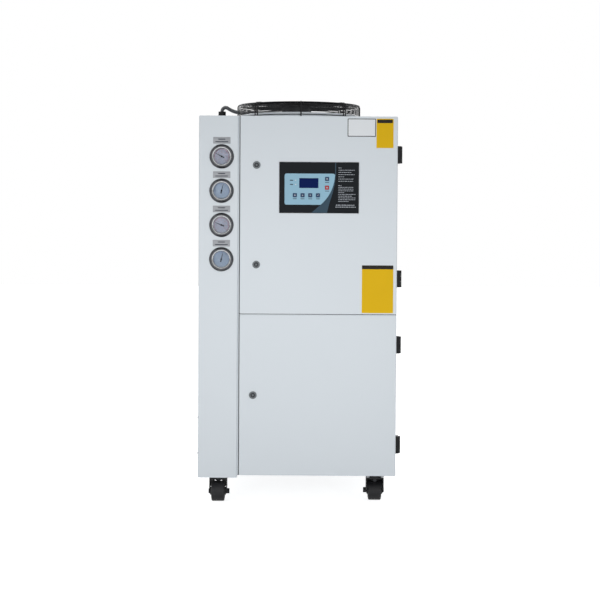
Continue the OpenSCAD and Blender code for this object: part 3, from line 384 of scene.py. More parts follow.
def piece(name, bm, material, body="cabinet"):
    """Turns a mesh into a named piece that rides on a body, smooth but for its sharp edges."""
    bmesh.ops.recalc_face_normals(bm, faces=bm.faces)
    for face in bm.faces:
        face.smooth = True
    for edge in bm.edges:
        edge.smooth = edge.calc_face_angle(0) < SHARP_ANGLE
    mesh = bpy.data.meshes.new(name)
    bm.to_mesh(mesh)
    bm.free()
    mesh.materials.append(MATERIALS[material])
    made = new_object(name, mesh)
    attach(made, body)
    return made


def slot_piece(name, bm, slot, *nodes, body="cabinet"):
    """A piece in the finish of one of the record's slots, which stands for the given nodes, if any."""
    made = piece(name, bm, slot, body)
    if nodes:
        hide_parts(*nodes)


# Fan guard of round wire, with the wires bent down into legs

grille_lo, grille_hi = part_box("fan_guard_grille")
hoop_lo, hoop_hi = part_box("fan_guard_hoops")
RING_WIRE = 1.5 * MM
SPOKE_WIRE = 2 * MM
FINE_WIRE = 1.2 * MM
GUARD_R = hoop_hi.x + SPOKE_WIRE
GUARD_TURN = 2
GUARD_RINGS = 16
GUARD_BEND = 9 * MM
GUARD_DISC_R = 52 * MM
DISC_RIM = 1.5 * MM
DISC_BOLT_R = 5 * MM
DISC_BOLT_AT = 0.7
SPOKE_Z = grille_hi.z - SPOKE_WIRE
SPOKE_LAP = 5 * MM
LOW_HOOP_PITCH = 10 * MM
TOP_HOOP_PITCH = 7.5 * MM
OPEN_HOOPS = (1.5, 2, 2.5, 3)  # pitches under the top hoop
CONDUIT_GAP = 3  # degrees to each side of the conduit
SINGLE_LEGS = (0, 90, 180, 270)
DOUBLE_LEGS = (45, 135, 225, 315)
LEG_PAIR = 10 * MM
FOOT_T = 3 * MM
FOOT_INSET = 2 * MM
FOOT_BOLT_R = 4 * MM
FOOT_BOLT_H = 2.8 * MM


def build_guard_rings():
    """Rings of the grille, and the bolted disc in their middle that carries the motor."""
    grille = bmesh.new()
    step = (GUARD_R - GUARD_DISC_R) / GUARD_RINGS
    for i in range(1, GUARD_RINGS + 1):
        inside = SPOKE_WIRE if i == GUARD_RINGS else 0
        add_hoop(grille, moved(0, 0, grille_lo.z + RING_WIRE), GUARD_DISC_R + i * step - inside, RING_WIRE)
    disc = [(0, -2 * DISC_RIM), (GUARD_DISC_R - DISC_RIM, -2 * DISC_RIM), (GUARD_DISC_R, -DISC_RIM),
            (GUARD_DISC_R, 0), (GUARD_DISC_R - DISC_RIM, DISC_RIM), (0, DISC_RIM)]
    add_lathe(grille, disc, moved(0, 0, SPOKE_Z), steps=64)
    for a in DOUBLE_LEGS:
        bolt = turned(a) @ moved(GUARD_DISC_R * DISC_BOLT_AT, 0, SPOKE_Z)
        add_disc(grille, DISC_BOLT_R, SPOKE_WIRE, bolt, steps=6)
    slot_piece("guard_rings", grille, "black_paint", "fan_guard_grille")


def build_guard_hoops():
    """Main and fine hoops inside the legs; the lower fine ones stop at two uprights beside the conduit."""
    hoops = bmesh.new()
    low, top = hoop_lo.z + RING_WIRE, hoop_hi.z - RING_WIRE
    for z in (low, low + LOW_HOOP_PITCH, top - TOP_HOOP_PITCH, top):
        add_hoop(hoops, moved(0, 0, z), hoop_hi.x - RING_WIRE, RING_WIRE)
    fine_r = hoop_hi.x - FINE_WIRE
    add_hoop(hoops, moved(0, 0, top - TOP_HOOP_PITCH / 2), fine_r, FINE_WIRE)
    conduit_lo, conduit_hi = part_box("fan_conduit")
    way = 180 - math.degrees(math.asin((conduit_lo.y + conduit_hi.y) / 2 / fine_r))
    open_arc = arc(0, 0, fine_r, way + CONDUIT_GAP, way + 360 - CONDUIT_GAP, steps=96)
    levels = [top - steps * TOP_HOOP_PITCH for steps in OPEN_HOOPS]
    for z in levels:
        add_tube(hoops, [(x, y, z) for x, y in open_arc], FINE_WIRE, WIRE_SIDES)
    foot_z, head_z = levels[-1] - FINE_WIRE, top - TOP_HOOP_PITCH
    for x, y in (open_arc[0], open_arc[-1]):
        add_rod(hoops, (x, y, foot_z), (x, y, head_z), FINE_WIRE, WIRE_SIDES)
    slot_piece("guard_hoops", hoops, "black_paint", "fan_guard_hoops")


def build_guard_legs():
    """Spokes that turn down into single and double legs, with a bolted foot at each double one."""
    legs = bmesh.new()
    leg_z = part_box("fan_guard_legs")[0].z
    wires = [(a, 0) for a in SINGLE_LEGS] + [(a, s * LEG_PAIR / 2) for a in DOUBLE_LEGS for s in (-1, 1)]
    bend = arc(GUARD_R - GUARD_BEND, SPOKE_Z - GUARD_BEND, GUARD_BEND, 90, 0, steps=6)
    route = [(GUARD_DISC_R - SPOKE_LAP, SPOKE_Z)] + bend + [(GUARD_R, leg_z)]
    for a, offset in wires:
        turn = turned(GUARD_TURN + a)
        add_tube(legs, [turn @ Vector((r, offset, z)) for r, z in route], SPOKE_WIRE, WIRE_SIDES)
    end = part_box("fan_collar")[1].x - FOOT_INSET
    foot = rect(GUARD_R, -LEG_PAIR, end, LEG_PAIR)
    for a in DOUBLE_LEGS:
        turn = turned(GUARD_TURN + a)
        add_prism(legs, foot, turn @ moved(0, 0, leg_z), FOOT_T, bevel=0.6 * MM)
        bolt = turn @ moved((GUARD_R + end) / 2 + FOOT_INSET, 0, leg_z + FOOT_T)
        add_disc(legs, FOOT_BOLT_R, FOOT_BOLT_H, bolt, steps=6)
    slot_piece("guard_legs", legs, "black_paint", "fan_guard_legs")


# Ribbed conduit from the roof gland to the motor

CONDUIT_R = 6.5 * MM
CONDUIT_LIFT = 1 * MM
GLAND_LAP = 4 * MM
HUMP_LIFT = 2 * MM
HUMP_R = 12 * MM
HUMP_ANGLE = 125
RIB_PITCH = 4 * MM
RIB_STEPS = 4
RIB_WAIST = 0.87


def build_conduit():
    """Corrugated tube along the conduit's route: up, over the hump, down and level to the motor."""
    gland_lo, gland_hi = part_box("conduit_gland")
    gland_x = (gland_lo.x + gland_hi.x) / 2
    y = (gland_lo.y + gland_hi.y) / 2
    run_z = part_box("fan_collar")[1].z + CONDUIT_R + CONDUIT_LIFT
    end_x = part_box("fan_motor")[0].x
    slope = HUMP_ANGLE - 90
    hump = arc(gland_x + HUMP_R, gland_hi.z + HUMP_LIFT, HUMP_R, 180, 180 - HUMP_ANGLE, steps=10)
    x, z = hump[-1]
    dip_r = (z - run_z) / (1 - math.cos(math.radians(slope)))
    dip = arc(x + dip_r * math.sin(math.radians(slope)), run_z + dip_r, dip_r, 270 - slope, 270, steps=14)
    corners = [(gland_x, gland_hi.z - GLAND_LAP)] + hump + dip[1:] + [(end_x, run_z)]
    route = [Vector((a, y, b)) for a, b in corners]
    points = []
    for p, q in zip(route, route[1:]):
        count = max(1, round((q - p).length / (RIB_PITCH / RIB_STEPS)))
        points += [p.lerp(q, i / count) for i in range(count)]
    radii = [CONDUIT_R * (1 if i % RIB_STEPS < RIB_STEPS / 2 else RIB_WAIST) for i in range(len(points))]
    tube = bmesh.new()
    add_tube(tube, points, radii, steps=14)
    # Lighter grey than black plastic, as painted highlight
    made = piece("ribbed_conduit", tube, "conduit_grey_painted_highlight")
    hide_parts("fan_conduit")


# Condensers: thin fins on copper tubes between end plates

FIN_PITCH = 2.6 * MM
FIN_T = 0.35 * MM
FIN_END = 1 * MM
TUBE_R = 4.8 * MM
TUBE_ROWS = 24
TUBE_DEPTHS = (17 * MM, 36 * MM)
COIL_DEPTH = 51 * MM
COIL_PLATE_T = 2 * MM
PLATE_LAP_BACK = 6 * MM
PLATE_LAP_FRONT = 1 * MM


def build_condensers():
    """Fins, end plates and two columns of tubes on each side."""
    lo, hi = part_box("condensers")
    fins, tubes = bmesh.new(), bmesh.new()
    fin_ys = [lo.y + COIL_PLATE_T + i * FIN_PITCH for i in range(1, int((hi.y - lo.y) / FIN_PITCH) - 1)]
    tube_zs = [lo.z + (i + 0.5) * (hi.z - lo.z) / TUBE_ROWS for i in range(TUBE_ROWS)]
    for side in (-1, 1):
        outer, inner = side * hi.x, side * (hi.x - COIL_DEPTH)
        plate_x = sorted((outer, inner))
        fin_x = sorted((outer - side * PLATE_LAP_FRONT, inner + side * PLATE_LAP_BACK))
        for y in fin_ys:
            add_box(fins, (fin_x[0], y, lo.z + FIN_END), (fin_x[1], y + FIN_T, hi.z - FIN_END))
        for y in (lo.y, hi.y - COIL_PLATE_T):
            add_box(fins, (plate_x[0], y, lo.z), (plate_x[1], y + COIL_PLATE_T, hi.z), bevel=0.4 * MM)
        for z in tube_zs:
            for depth in TUBE_DEPTHS:
                x = outer - side * depth
                add_rod(tubes, (x, lo.y + COIL_PLATE_T, z), (x, hi.y - COIL_PLATE_T, z), TUBE_R, steps=10)
    slot_piece("condenser_fins", fins, "fin_aluminium", "condensers")
    slot_piece("condenser_tubes", tubes, "pipe_copper")


# Gauges: printed scales, pointers, bright rings of painted highlight and the plain name plates over them

case_lo, case_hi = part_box("gauge_cases")
dial_lo, dial_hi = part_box("gauge_dials")
GAUGE_X = (case_lo.x + case_hi.x) / 2
GAUGE_R = (case_hi.x - case_lo.x) / 2
DIAL_R = (dial_hi.x - dial_lo.x) / 2
GAUGE_ZS = [case_hi.z - GAUGE_R - i * (case_hi.z - case_lo.z - 2 * GAUGE_R) / 3 for i in range(4)]
INK = 0.12 * MM
CARD = 0.15 * MM
CARD_GAP = 0.3 * MM
SCALE_START = 225
SCALE_SWEEP = 270
SCALE_STEPS = 30
SCALE_TOPS = (30, 6)
SCALE_ARC = (0.895 * DIAL_R, 0.93 * DIAL_R)
STEPS_PER_NUMBER = 5
TICK_END = 0.9 * DIAL_R
LONG_TICK = (0.72 * DIAL_R, 0.4 * MM)  # inner end and half the width
SHORT_TICK = (0.80 * DIAL_R, 0.2 * MM)
NUMBER_R = 0.54 * DIAL_R
NUMBER_H = 4.4 * MM
NUMBER_T = 0.02 * MM
POINTER_TURNS = (63, -14, 68, -14)
POINTER_T = 0.6 * MM
POINTER_BLADE = [(-2.2, -9), (2.2, -9), (1.4, 0), (0.5, 21), (-0.5, 21), (-1.4, 0)]
POINTER_HUB = [(2.9, 0), (2.9, 1.3), (2.2, 1.8), (0, 2)]
RING_SLOPE = [(26.5, 6.1), (26.5, 6.6), (28.8, 8.5), (29.0, 8.5), (29.0, 8.1)]
NAME_PLATE_RISE = 50 * MM
NAME_PLATE_HALF = (27 * MM, 10.2 * MM)
NAME_PLATE_T = 0.7 * MM
NAME_BARS = [(3.6, 11), (-4.2, 20)]  # height over the plate's middle and half the length
NAME_BAR_HALF_H = 1.3 * MM


def add_number(bm, number, place):
    """Adds a number as a flat raised mesh."""
    curve = bpy.data.curves.new("number", "FONT")
    curve.body = str(number)
    curve.size = NUMBER_H
    curve.align_x = "CENTER"
    curve.align_y = "CENTER"
    curve.extrude = NUMBER_T
    holder = new_object("number", curve)
    bpy.context.view_layer.update()
    mesh = bpy.data.meshes.new_from_object(holder.evaluated_get(bpy.context.evaluated_depsgraph_get()))
    mesh.transform(place)
    bm.from_mesh(mesh)
    bpy.data.meshes.remove(mesh)
    bpy.data.objects.remove(holder)
    bpy.data.curves.remove(curve)


def add_scale(bm, z, top):
    """Ticks, an arc and numbers up to top on one dial."""
    face = facing(GAUGE_X, dial_lo.y - CARD, z)
    for i in range(SCALE_STEPS + 1):
        a = SCALE_START - SCALE_SWEEP * i / SCALE_STEPS
        numbered = i % STEPS_PER_NUMBER == 0
        start, half = LONG_TICK if numbered else SHORT_TICK
        add_prism(bm, rect(start, -half, TICK_END, half), face @ turned(a), INK)
        if numbered:
            spot = face @ turned(a) @ moved(NUMBER_R, 0, INK) @ turned(-a)
            add_number(bm, round(top * i / SCALE_STEPS), spot)
    end = SCALE_START - SCALE_SWEEP
    inner, outer = SCALE_ARC
    ring = arc(0, 0, outer, SCALE_START, end, steps=60) + arc(0, 0, inner, end, SCALE_START, steps=60)
    add_prism(bm, ring, face, INK)


def build_gauge_scales():
    """Red scales on pinkish cards in the first and third gauges, blue ones on bluish cards in the others."""
    red, blue, pink_cards, blue_cards = (bmesh.new() for _ in range(4))
    for i, z in enumerate(GAUGE_ZS):
        add_scale(blue if i % 2 else red, z, SCALE_TOPS[i % 2])
        face = facing(GAUGE_X, dial_lo.y, z)
        add_disc(blue_cards if i % 2 else pink_cards, DIAL_R - CARD_GAP, CARD, face, steps=64)
    piece("red_gauge_scales", red, "scale_red")
    piece("blue_gauge_scales", blue, "scale_blue")
    piece("pink_dial_cards", pink_cards, "dial_pink")
    piece("blue_dial_cards", blue_cards, "dial_blue")


def build_gauge_pointers():
    """Tapered blade with a heavy tail under a domed hub on each dial."""
    pointers = bmesh.new()
    for z, turn in zip(GAUGE_ZS, POINTER_TURNS):
        face = facing(GAUGE_X, dial_lo.y, z)
        blade_place = face @ turned(turn) @ moved(0, 0, POINTER_T)
        add_prism(pointers, in_mm(POINTER_BLADE), blade_place, POINTER_T)
        add_lathe(pointers, in_mm(POINTER_HUB), face, steps=24)
    slot_piece("gauge_pointer_blades", pointers, "pointer_black", "gauge_pointers")


def build_gauge_rings():
    """Bright ring on the slope inside each bezel, as a painted highlight on the polished bezel."""
    rings = bmesh.new()
    for z in GAUGE_ZS:
        add_turned_ring(rings, in_mm(RING_SLOPE), facing(GAUGE_X, FRONT, z), steps=64)
    piece("gauge_highlight_rings", rings, "ring_painted_highlight")


def build_name_plates():
    """Plain grey plate over each gauge with two plain bars."""
    plates, bars = bmesh.new(), bmesh.new()
    half_w, half_h = NAME_PLATE_HALF
    outline = round_rect(-half_w, -half_h, half_w, half_h, 1 * MM)
    for z in GAUGE_ZS:
        face = facing(GAUGE_X, FRONT, z + NAME_PLATE_RISE)
        add_prism(plates, outline, face, NAME_PLATE_T, bevel=0.25 * MM)
        for y, length in in_mm(NAME_BARS):
            place = face @ moved(0, y, NAME_PLATE_T - INK / 2)
            add_prism(bars, bar(length, NAME_BAR_HALF_H), place, INK)
    piece("gauge_name_plates", plates, "plate_metal")
    piece("gauge_name_bars", bars, "print_dark_and_painted_shade")


# Control panel, measured in millimetres right and down from its top left corner

EDGE_LAP = 1.6 * MM
EDGE_SINK = 0.8 * MM
BAND_T = 0.25 * MM
BAND_END = (panel_hi.z - panel_lo.z) / MM - 1
BAND_LEFT = [(173.5, 36), (170.5, 59), (162.5, 87.5), (149, 112.5), (129, 133), (100, BAND_END)]
BAND_RIGHT = [(149, BAND_END), (156, 130), (166, 98), (173, 68), (176.5, 36), (176.5, 1), (174, 1)]
PRINT_X = 184
PRINT_H = 1.7
PRINT_BLOCKS = (  # first row, pitch and the rows' lengths
    (17.9, 6.9, (10, 51, 40, 51, 20, 48, 46)),
    (72.6, 5.5, (10, 48, 47, 48, 19, 54, 43, 54, 54, 32)),
)
LAST_ROWS = [(176.5, 133.7, 58, 2.4), (175, 139.8, 64, 2.4)]  # left end, row, length and height
WORD_LENGTHS = (6.5, 3.6, 8.4, 4.8, 7.2, 2.8, 5.6)
WORD_GAP = 1.3


def on_panel(x, y, lift=0.0):
    """Place on the panel's face; lift is in metres."""
    return facing(panel_lo.x + x * MM, panel_lo.y - lift, panel_hi.z - y * MM)


def add_words(bm, x, y, length, height, shift):
    """Row of plain bars of uneven length, as lines of small print look from afar."""
    end = x + length
    while x < end - 1:
        word = min(WORD_LENGTHS[shift % len(WORD_LENGTHS)], end - x)
        add_prism(bm, bar(word / 2 * MM, height / 2 * MM), on_panel(x + word / 2, y), INK)
        x += word + WORD_GAP
        shift += 1


def build_control_panel():
    """Pale edge, slate band beside the keypad and plain lines of print."""
    edge = bmesh.new()
    y0, y1 = panel_lo.y + EDGE_SINK, FRONT
    x0, x1, z0, z1 = panel_lo.x, panel_hi.x, panel_lo.z, panel_hi.z
    left, right = x0 - EDGE_LAP, x1 + EDGE_LAP
    for a, low, b, high in ((left, z0 - EDGE_LAP, right, z0), (left, z1, right, z1 + EDGE_LAP),
                            (left, z0, x0, z1), (x1, z0, right, z1)):
        add_box(edge, (a, y0, low), (b, y1, high), bevel=0.3 * MM)
    piece("panel_edge", edge, "print_white", "control_door")

    band = bmesh.new()
    add_prism(band, [(x * MM, -y * MM) for x, y in BAND_LEFT + BAND_RIGHT], on_panel(0, 0), BAND_T)
    piece("panel_band", band, "band_slate", "control_door")

    lines = bmesh.new()
    rows = [(PRINT_X, first + pitch * i, length, PRINT_H)
            for first, pitch, lengths in PRINT_BLOCKS for i, length in enumerate(lengths)]
    for shift, row in enumerate(rows + LAST_ROWS):
        add_words(lines, *row, shift)
    piece("panel_print", lines, "print_grey", "control_door")


KEY_W = 13.0
KEY_PITCH = 24.0
KEY_RISE = 27.0
KEY_CAP_HALF = (KEY_W / 2 - 0.4) * MM
KEY_CAP_R = 1.8 * MM
KEY_CAP_T = 0.5 * MM
CAPTION_DROP = 11
CAPTION_HALF = (6 * MM, 0.9 * MM)
LAMP_X = 51
LAMP_YS = (57, 70)
LAMP_DOME = [(1.8, 0), (1.8, 0.3), (1.2, 0.7), (0, 0.8)]
LAMP_CAPTION_X = 38
LAMP_CAPTION_HALF = (5 * MM, 1.4 * MM)
SIGN_RING = arc(0, 0, 2.4, 0, 330, steps=11)
SIGN_UP = [(-2.4, -1.8), (2.4, -1.8), (0, 2.4)]
SIGN_DOWN = [(-2.4, 1.8), (2.4, 1.8), (0, -2.4)]
SIGN_TICK = [(-2.6, 0.2), (-1.6, 1.1), (-0.6, 0.2), (1.9, 2.7), (2.7, 1.9), (-0.6, -1.6)]
SIGN_STOP = rect(-2.2, -2.2, 2.2, 2.2)
SIGNS = (SIGN_RING, SIGN_UP, SIGN_DOWN, SIGN_TICK, SIGN_RING, SIGN_STOP)


def build_keypad():
    """Signs on the keys, the red stop key's cap, captions and two lamps on the pale field."""
    overlay_lift = panel_lo.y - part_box("keypad_overlay")[0].y
    key_lo, key_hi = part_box("keypad_keys")
    key_lift = panel_lo.y - key_lo.y
    low_y = (panel_hi.z - key_lo.z) / MM - KEY_W / 2
    top_y = (panel_hi.z - key_hi.z) / MM + KEY_W / 2
    first_x = (key_lo.x - panel_lo.x) / MM + KEY_W / 2
    right_x = (key_hi.x - panel_lo.x) / MM - KEY_W / 2
    spots = [(first_x + i * KEY_PITCH, low_y) for i in range(4)]
    spots += [(right_x, top_y), (right_x, top_y + KEY_RISE)]

    captions = bmesh.new()
    for x, y in spots:
        add_prism(captions, bar(*CAPTION_HALF), on_panel(x, y + CAPTION_DROP, overlay_lift), INK)
    for y in LAMP_YS:
        add_prism(captions, bar(*LAMP_CAPTION_HALF), on_panel(LAMP_CAPTION_X, y, overlay_lift), INK)
    piece("keypad_captions", captions, "print_dark_and_painted_shade", "control_door")

    lamps = bmesh.new()
    for y in LAMP_YS:
        add_lathe(lamps, in_mm(LAMP_DOME), on_panel(LAMP_X, y, overlay_lift), steps=16)
    piece("keypad_lamps", lamps, "print_white", "control_door")

    red = bmesh.new()
    cap = round_rect(-KEY_CAP_HALF, -KEY_CAP_HALF, KEY_CAP_HALF, KEY_CAP_HALF, KEY_CAP_R)
    add_prism(red, cap, on_panel(*spots[-1], key_lift), KEY_CAP_T, bevel=0.3 * MM)
    piece("stop_key_cap", red, "red_key", "control_door")

    signs = bmesh.new()
    for (x, y), sign in zip(spots, SIGNS):
        lift = key_lift + (KEY_CAP_T if sign is SIGN_STOP else 0)
        add_prism(signs, in_mm(sign), on_panel(x, y, lift), INK)
    piece("key_signs", signs, "print_grey", "control_door")


# Locks

LOCK_WELL_R = 7.5 * MM
LOCK_WELL_T = 0.3 * MM
LOCK_WELL_LIFT = 1.4 * MM
LOCK_TOP = 12.3 * MM
LOCK_BOTTOM = 38 * MM


def build_lock_wells():
    """Dark disc on the floor of each lock's keyed recess, as painted shade."""
    for body, node in (("control_door", "control_door_locks"), ("service_door", "service_door_lock")):
        well_painted_shade = bmesh.new()
        lo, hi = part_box(node)
        for z in sorted({round(hi.z - LOCK_TOP, 4), round(lo.z + LOCK_BOTTOM, 4)}):
            face = facing((lo.x + hi.x) / 2, FRONT - LOCK_WELL_LIFT, z)
            add_disc(well_painted_shade, LOCK_WELL_R, LOCK_WELL_T, face, steps=32)
        piece(node + "_wells", well_painted_shade, "screw_dark_and_painted_shade", body)


# Bare plates stuck on the upper door

PLATE_T = 0.35 * MM
PLATE_CORNER = 1.5 * MM
UPPER_LIFT = 0.9 * PLATE_T
BLANK_PLATES = (  # colour, left and right ends, the line its height starts from, bottom, top, lift
    ("dark", 153, 241, ROOF, -63, -7, 0.0),
    ("white", 155.2, 238.8, ROOF, -60.8, -9.2, UPPER_LIFT),
    ("yellow", 243, 296, ROOF, -98, -7, 0.0),
    ("dark", 245.5, 293.5, ROOF, -20.5, -10, UPPER_LIFT),
    ("yellow", 200.5, 298.5, service_hi.z, 9, 158, 0.0),
    ("dark", 200.5, 298.5, service_hi.z, 146, 158, UPPER_LIFT),
)


def build_blank_plates():
    """A white plate with a dark border and two yellow ones with dark heads."""
    plates = {"white": bmesh.new(), "yellow": bmesh.new(), "dark": bmesh.new()}
    for colour, x0, x1, line, z0, z1, lift in BLANK_PLATES:
        outline = round_rect(x0 * MM, line + z0 * MM, x1 * MM, line + z1 * MM, PLATE_CORNER)
        add_prism(plates[colour], outline, facing(0, FRONT - lift, 0), PLATE_T)
    piece("white_plate", plates["white"], "plate_white", "control_door")
    piece("yellow_plates", plates["yellow"], "plate_yellow", "control_door")
    piece("dark_plate_edges", plates["dark"], "plate_dark", "control_door")


# Screws and bolts

PAN_HEAD = [(1, 0), (1, 0.25), (0.9, 0.5), (0.6, 0.66), (0, 0.72)]  # in radii of the head
CROSS_ARM = (-0.5, -0.1, 0.5, 0.1)
CROSS_LIFT = 0.6
CROSS_T = 0.14
PANEL_SCREW_R = 4 * MM
PANEL_SCREW_EDGE = 14 * MM
PANEL_SCREW_END = 22 * MM
FIRST_SIDE_SCREW = 70 * MM
LAST_SIDE_SCREW = 90 * MM
COVER_SCREW_EDGE = 9 * MM
COLLAR_SCREW_EDGE = 6 * MM
COLLAR_FLANGE_T = 2 * MM
HINGE_H = 53 * MM
HINGE_LEAF_LIFT = 10 * MM
HINGE_LEAF_MIDDLE = 9 * MM
HINGE_SCREW_R = 3.2 * MM
HINGE_SCREW_AT = 0.3


def add_screw(heads, slot_shades, place, r):
    """Pan head of radius r with a dark cross on it as the painted shade of its cross slot; place puts its Z
    out of the face.
    """
    add_lathe(heads, [(a * r, h * r) for a, h in PAN_HEAD], place, steps=16)
    # Dark cross on the head, as the slot's painted shade
    for turn in (0, 90):
        slot = place @ turned(turn) @ moved(0, 0, CROSS_LIFT * r)
        add_prism(slot_shades, rect(*(v * r for v in CROSS_ARM)), slot, CROSS_T * r)


def build_screws():
    """Panel screws on the sides, roof, rear, access cover and fan collar."""
    heads, slot_shades = bmesh.new(), bmesh.new()
    low = BOTTOM + PANEL_SCREW_END
    rear_y = REAR - PANEL_SCREW_EDGE
    edge_xs = (-HALF_W + PANEL_SCREW_EDGE, HALF_W - PANEL_SCREW_EDGE)
    cover_lo, cover_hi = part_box("left_access_cover")
    cover_zs = (cover_lo.z + COVER_SCREW_EDGE, cover_hi.z - COVER_SCREW_EDGE)
    collar_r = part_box("fan_collar")[1].x - COLLAR_SCREW_EDGE
    places = []
    for z in spaced(low, ROOF - PANEL_SCREW_END, 5):
        places += [facing(HALF_W, rear_y, z, "right"), facing(-HALF_W, rear_y, z, "left")]
        places += [facing(x, REAR, z, "rear") for x in edge_xs]
    for y in spaced(FRAME_Y + FIRST_SIDE_SCREW, REAR - LAST_SIDE_SCREW, 4):
        places += [facing(HALF_W, y, low, "right"), facing(-HALF_W, y, low, "left")]
        places += [facing(x, y, ROOF, "up") for x in edge_xs]
    for y in (cover_lo.y + COVER_SCREW_EDGE, cover_hi.y - COVER_SCREW_EDGE):
        places += [facing(cover_lo.x, y, z, "left") for z in cover_zs]
    for a in spaced(GUARD_TURN + 22.5, GUARD_TURN + 337.5, 8):
        places.append(turned(a) @ moved(collar_r, 0, ROOF + COLLAR_FLANGE_T))
    for place in places:
        add_screw(heads, slot_shades, place, PANEL_SCREW_R)
    piece("panel_screws", heads, "screw_steel")
    piece("panel_screw_slot_shades", slot_shades, "print_dark_and_painted_shade")


def build_hinge_screws():
    """Two screws in each leaf of every hinge."""
    leaf_x = HALF_W + HINGE_LEAF_LIFT
    fixed_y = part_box("fixed_hinge_leaves")[1].y - HINGE_LEAF_MIDDLE
    fixed, fixed_slot_shades = bmesh.new(), bmesh.new()
    for body in ("control_door", "service_door"):
        lo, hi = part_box(body + "_hinges")
        moving_y = lo.y + HINGE_LEAF_MIDDLE
        moving, moving_slot_shades = bmesh.new(), bmesh.new()
        for middle in (lo.z + HINGE_H / 2, hi.z - HINGE_H / 2):
            for z in (middle - HINGE_SCREW_AT * HINGE_H, middle + HINGE_SCREW_AT * HINGE_H):
                add_screw(fixed, fixed_slot_shades, facing(leaf_x, fixed_y, z, "right"), HINGE_SCREW_R)
                add_screw(moving, moving_slot_shades, facing(leaf_x, moving_y, z, "right"), HINGE_SCREW_R)
        piece(body + "_hinge_screws", moving, "screw_dark_and_painted_shade", body)
        piece(body + "_hinge_screw_slot_shades", moving_slot_shades, "print_dark_and_painted_shade", body)
    piece("fixed_hinge_screws", fixed, "screw_dark_and_painted_shade")
    piece("fixed_hinge_screw_slot_shades", fixed_slot_shades, "print_dark_and_painted_shade")


# Door seals painted pale over the door gaps, with dark strips of painted shade

# The seals are painted pale as painted light over the gaps, and the dark strips beside them are painted shade
PAINTED_SEAL_Y = FRONT + 0.2 * MM
GAP_PAINT_BACK = FRONT + 20 * MM
PAINTED_SEAL_W = 3.3 * MM
PAINTED_SEAL_BEVEL = 0.3 * MM
GAP_SHADE_Y = FRONT + 1 * MM
GAP_SHADE_W = 1.3 * MM
GAP_SHADE_BEVEL = 0.2 * MM
FOAM_T = 4 * MM
FOAM_W = 12 * MM
FOAM_INSET = 4 * MM
SILL_H = 15 * MM
RAIL_H = 25 * MM
HEADER_H = 45 * MM


def build_seals():
    """Seal strips painted pale in the gaps beside and between the doors, as painted light over their shade,
    each with a dark strip of painted shade beside it.
    """
    gap_shade_x, gap_shade_z = column_hi.x + PAINTED_SEAL_W, service_hi.z + PAINTED_SEAL_W
    strips = (  # piece, lowest corner, far corner, rounding, material, body
        ("column_seal_painted_light", (column_hi.x, PAINTED_SEAL_Y, service_lo.z), (gap_shade_x, GAP_PAINT_BACK, door_hi.z),
         PAINTED_SEAL_BEVEL, "seal_painted_light", "cabinet"),
        ("service_door_seal_painted_light", (service_lo.x, PAINTED_SEAL_Y, service_hi.z), (service_hi.x, GAP_PAINT_BACK, gap_shade_z),
         PAINTED_SEAL_BEVEL, "seal_painted_light", "service_door"),
        ("column_gap_painted_shade", (gap_shade_x, GAP_SHADE_Y, service_lo.z), (gap_shade_x + GAP_SHADE_W, GAP_PAINT_BACK, door_hi.z),
         GAP_SHADE_BEVEL, "foam_and_painted_shade", "cabinet"),
        ("service_door_gap_painted_shade", (service_lo.x, GAP_SHADE_Y, gap_shade_z), (service_hi.x, GAP_PAINT_BACK, gap_shade_z + GAP_SHADE_W),
         GAP_SHADE_BEVEL, "foam_and_painted_shade", "service_door"),
    )
    for name, lo, hi, bevel, material, body in strips:
        strip = bmesh.new()
        add_box(strip, lo, hi, bevel)
        piece(name, strip, material, body)


def build_door_foam():
    """Foam on the frame round the two door openings."""
    foam_and_painted_shade = bmesh.new()
    rails_lo, rails_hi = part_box("door_frame_rails")
    x0, x1 = rails_lo.x - FOAM_INSET, rails_hi.x + FOAM_INSET
    front = FRAME_Y - FOAM_T
    for sill, lintel in ((rails_lo.z + SILL_H, service_hi.z - RAIL_H), (door_lo.z + RAIL_H, ROOF - HEADER_H)):
        bottom = max(sill - FOAM_INSET - FOAM_W, rails_lo.z)
        top = lintel + FOAM_INSET + FOAM_W
        for a, b in ((x0 - FOAM_W, x0), (x1, x1 + FOAM_W)):
            add_box(foam_and_painted_shade, (a, front, bottom), (b, FRAME_Y, top), bevel=1 * MM)
        for a, b in ((bottom, sill - FOAM_INSET), (lintel + FOAM_INSET, top)):
            add_box(foam_and_painted_shade, (x0, front, a), (x1, FRAME_Y, b), bevel=1 * MM)
    piece("door_foam", foam_and_painted_shade, "foam_and_painted_shade")


# Casters

TRAIL = 22 * MM
SWUNG_FORWARDS = ("front_left",)
PLATE_BOLT_XS = (-22 * MM, 22 * MM)
PLATE_BOLT_YS = (-32 * MM, 32 * MM)
PLATE_BOLT_R = 5 * MM
PLATE_BOLT_H = 3 * MM
CASTER_PLATE_T = 3 * MM
KINGPIN_NUT = (  # number of sides, then radius and depth: flange, hexagon and the end of the thread
    (24, [(11, 0), (11, 2.4), (10, 3.2), (0, 3.2)]),
    (6, [(9.6, 0), (9.6, 4.2), (8.6, 4.8), (0, 4.8)]),
    (16, [(6, 0), (6, 6.2), (5.4, 6.6), (0, 6.6)]),
)
WHEEL_HALF_W = 20.5 * MM
WHEEL_RING_R = 23 * MM
WHEEL_RING_WIRE = 0.9 * MM
WHEEL_RIB = rect(12 * MM, -1 * MM, 22 * MM, 1 * MM)
WHEEL_RIB_T = 1 * MM
AXLE_NUT = [(9.2, 0), (9.2, 6), (8, 7), (0, 7)]
AXLE_NUT_SINK = 7.5 * MM


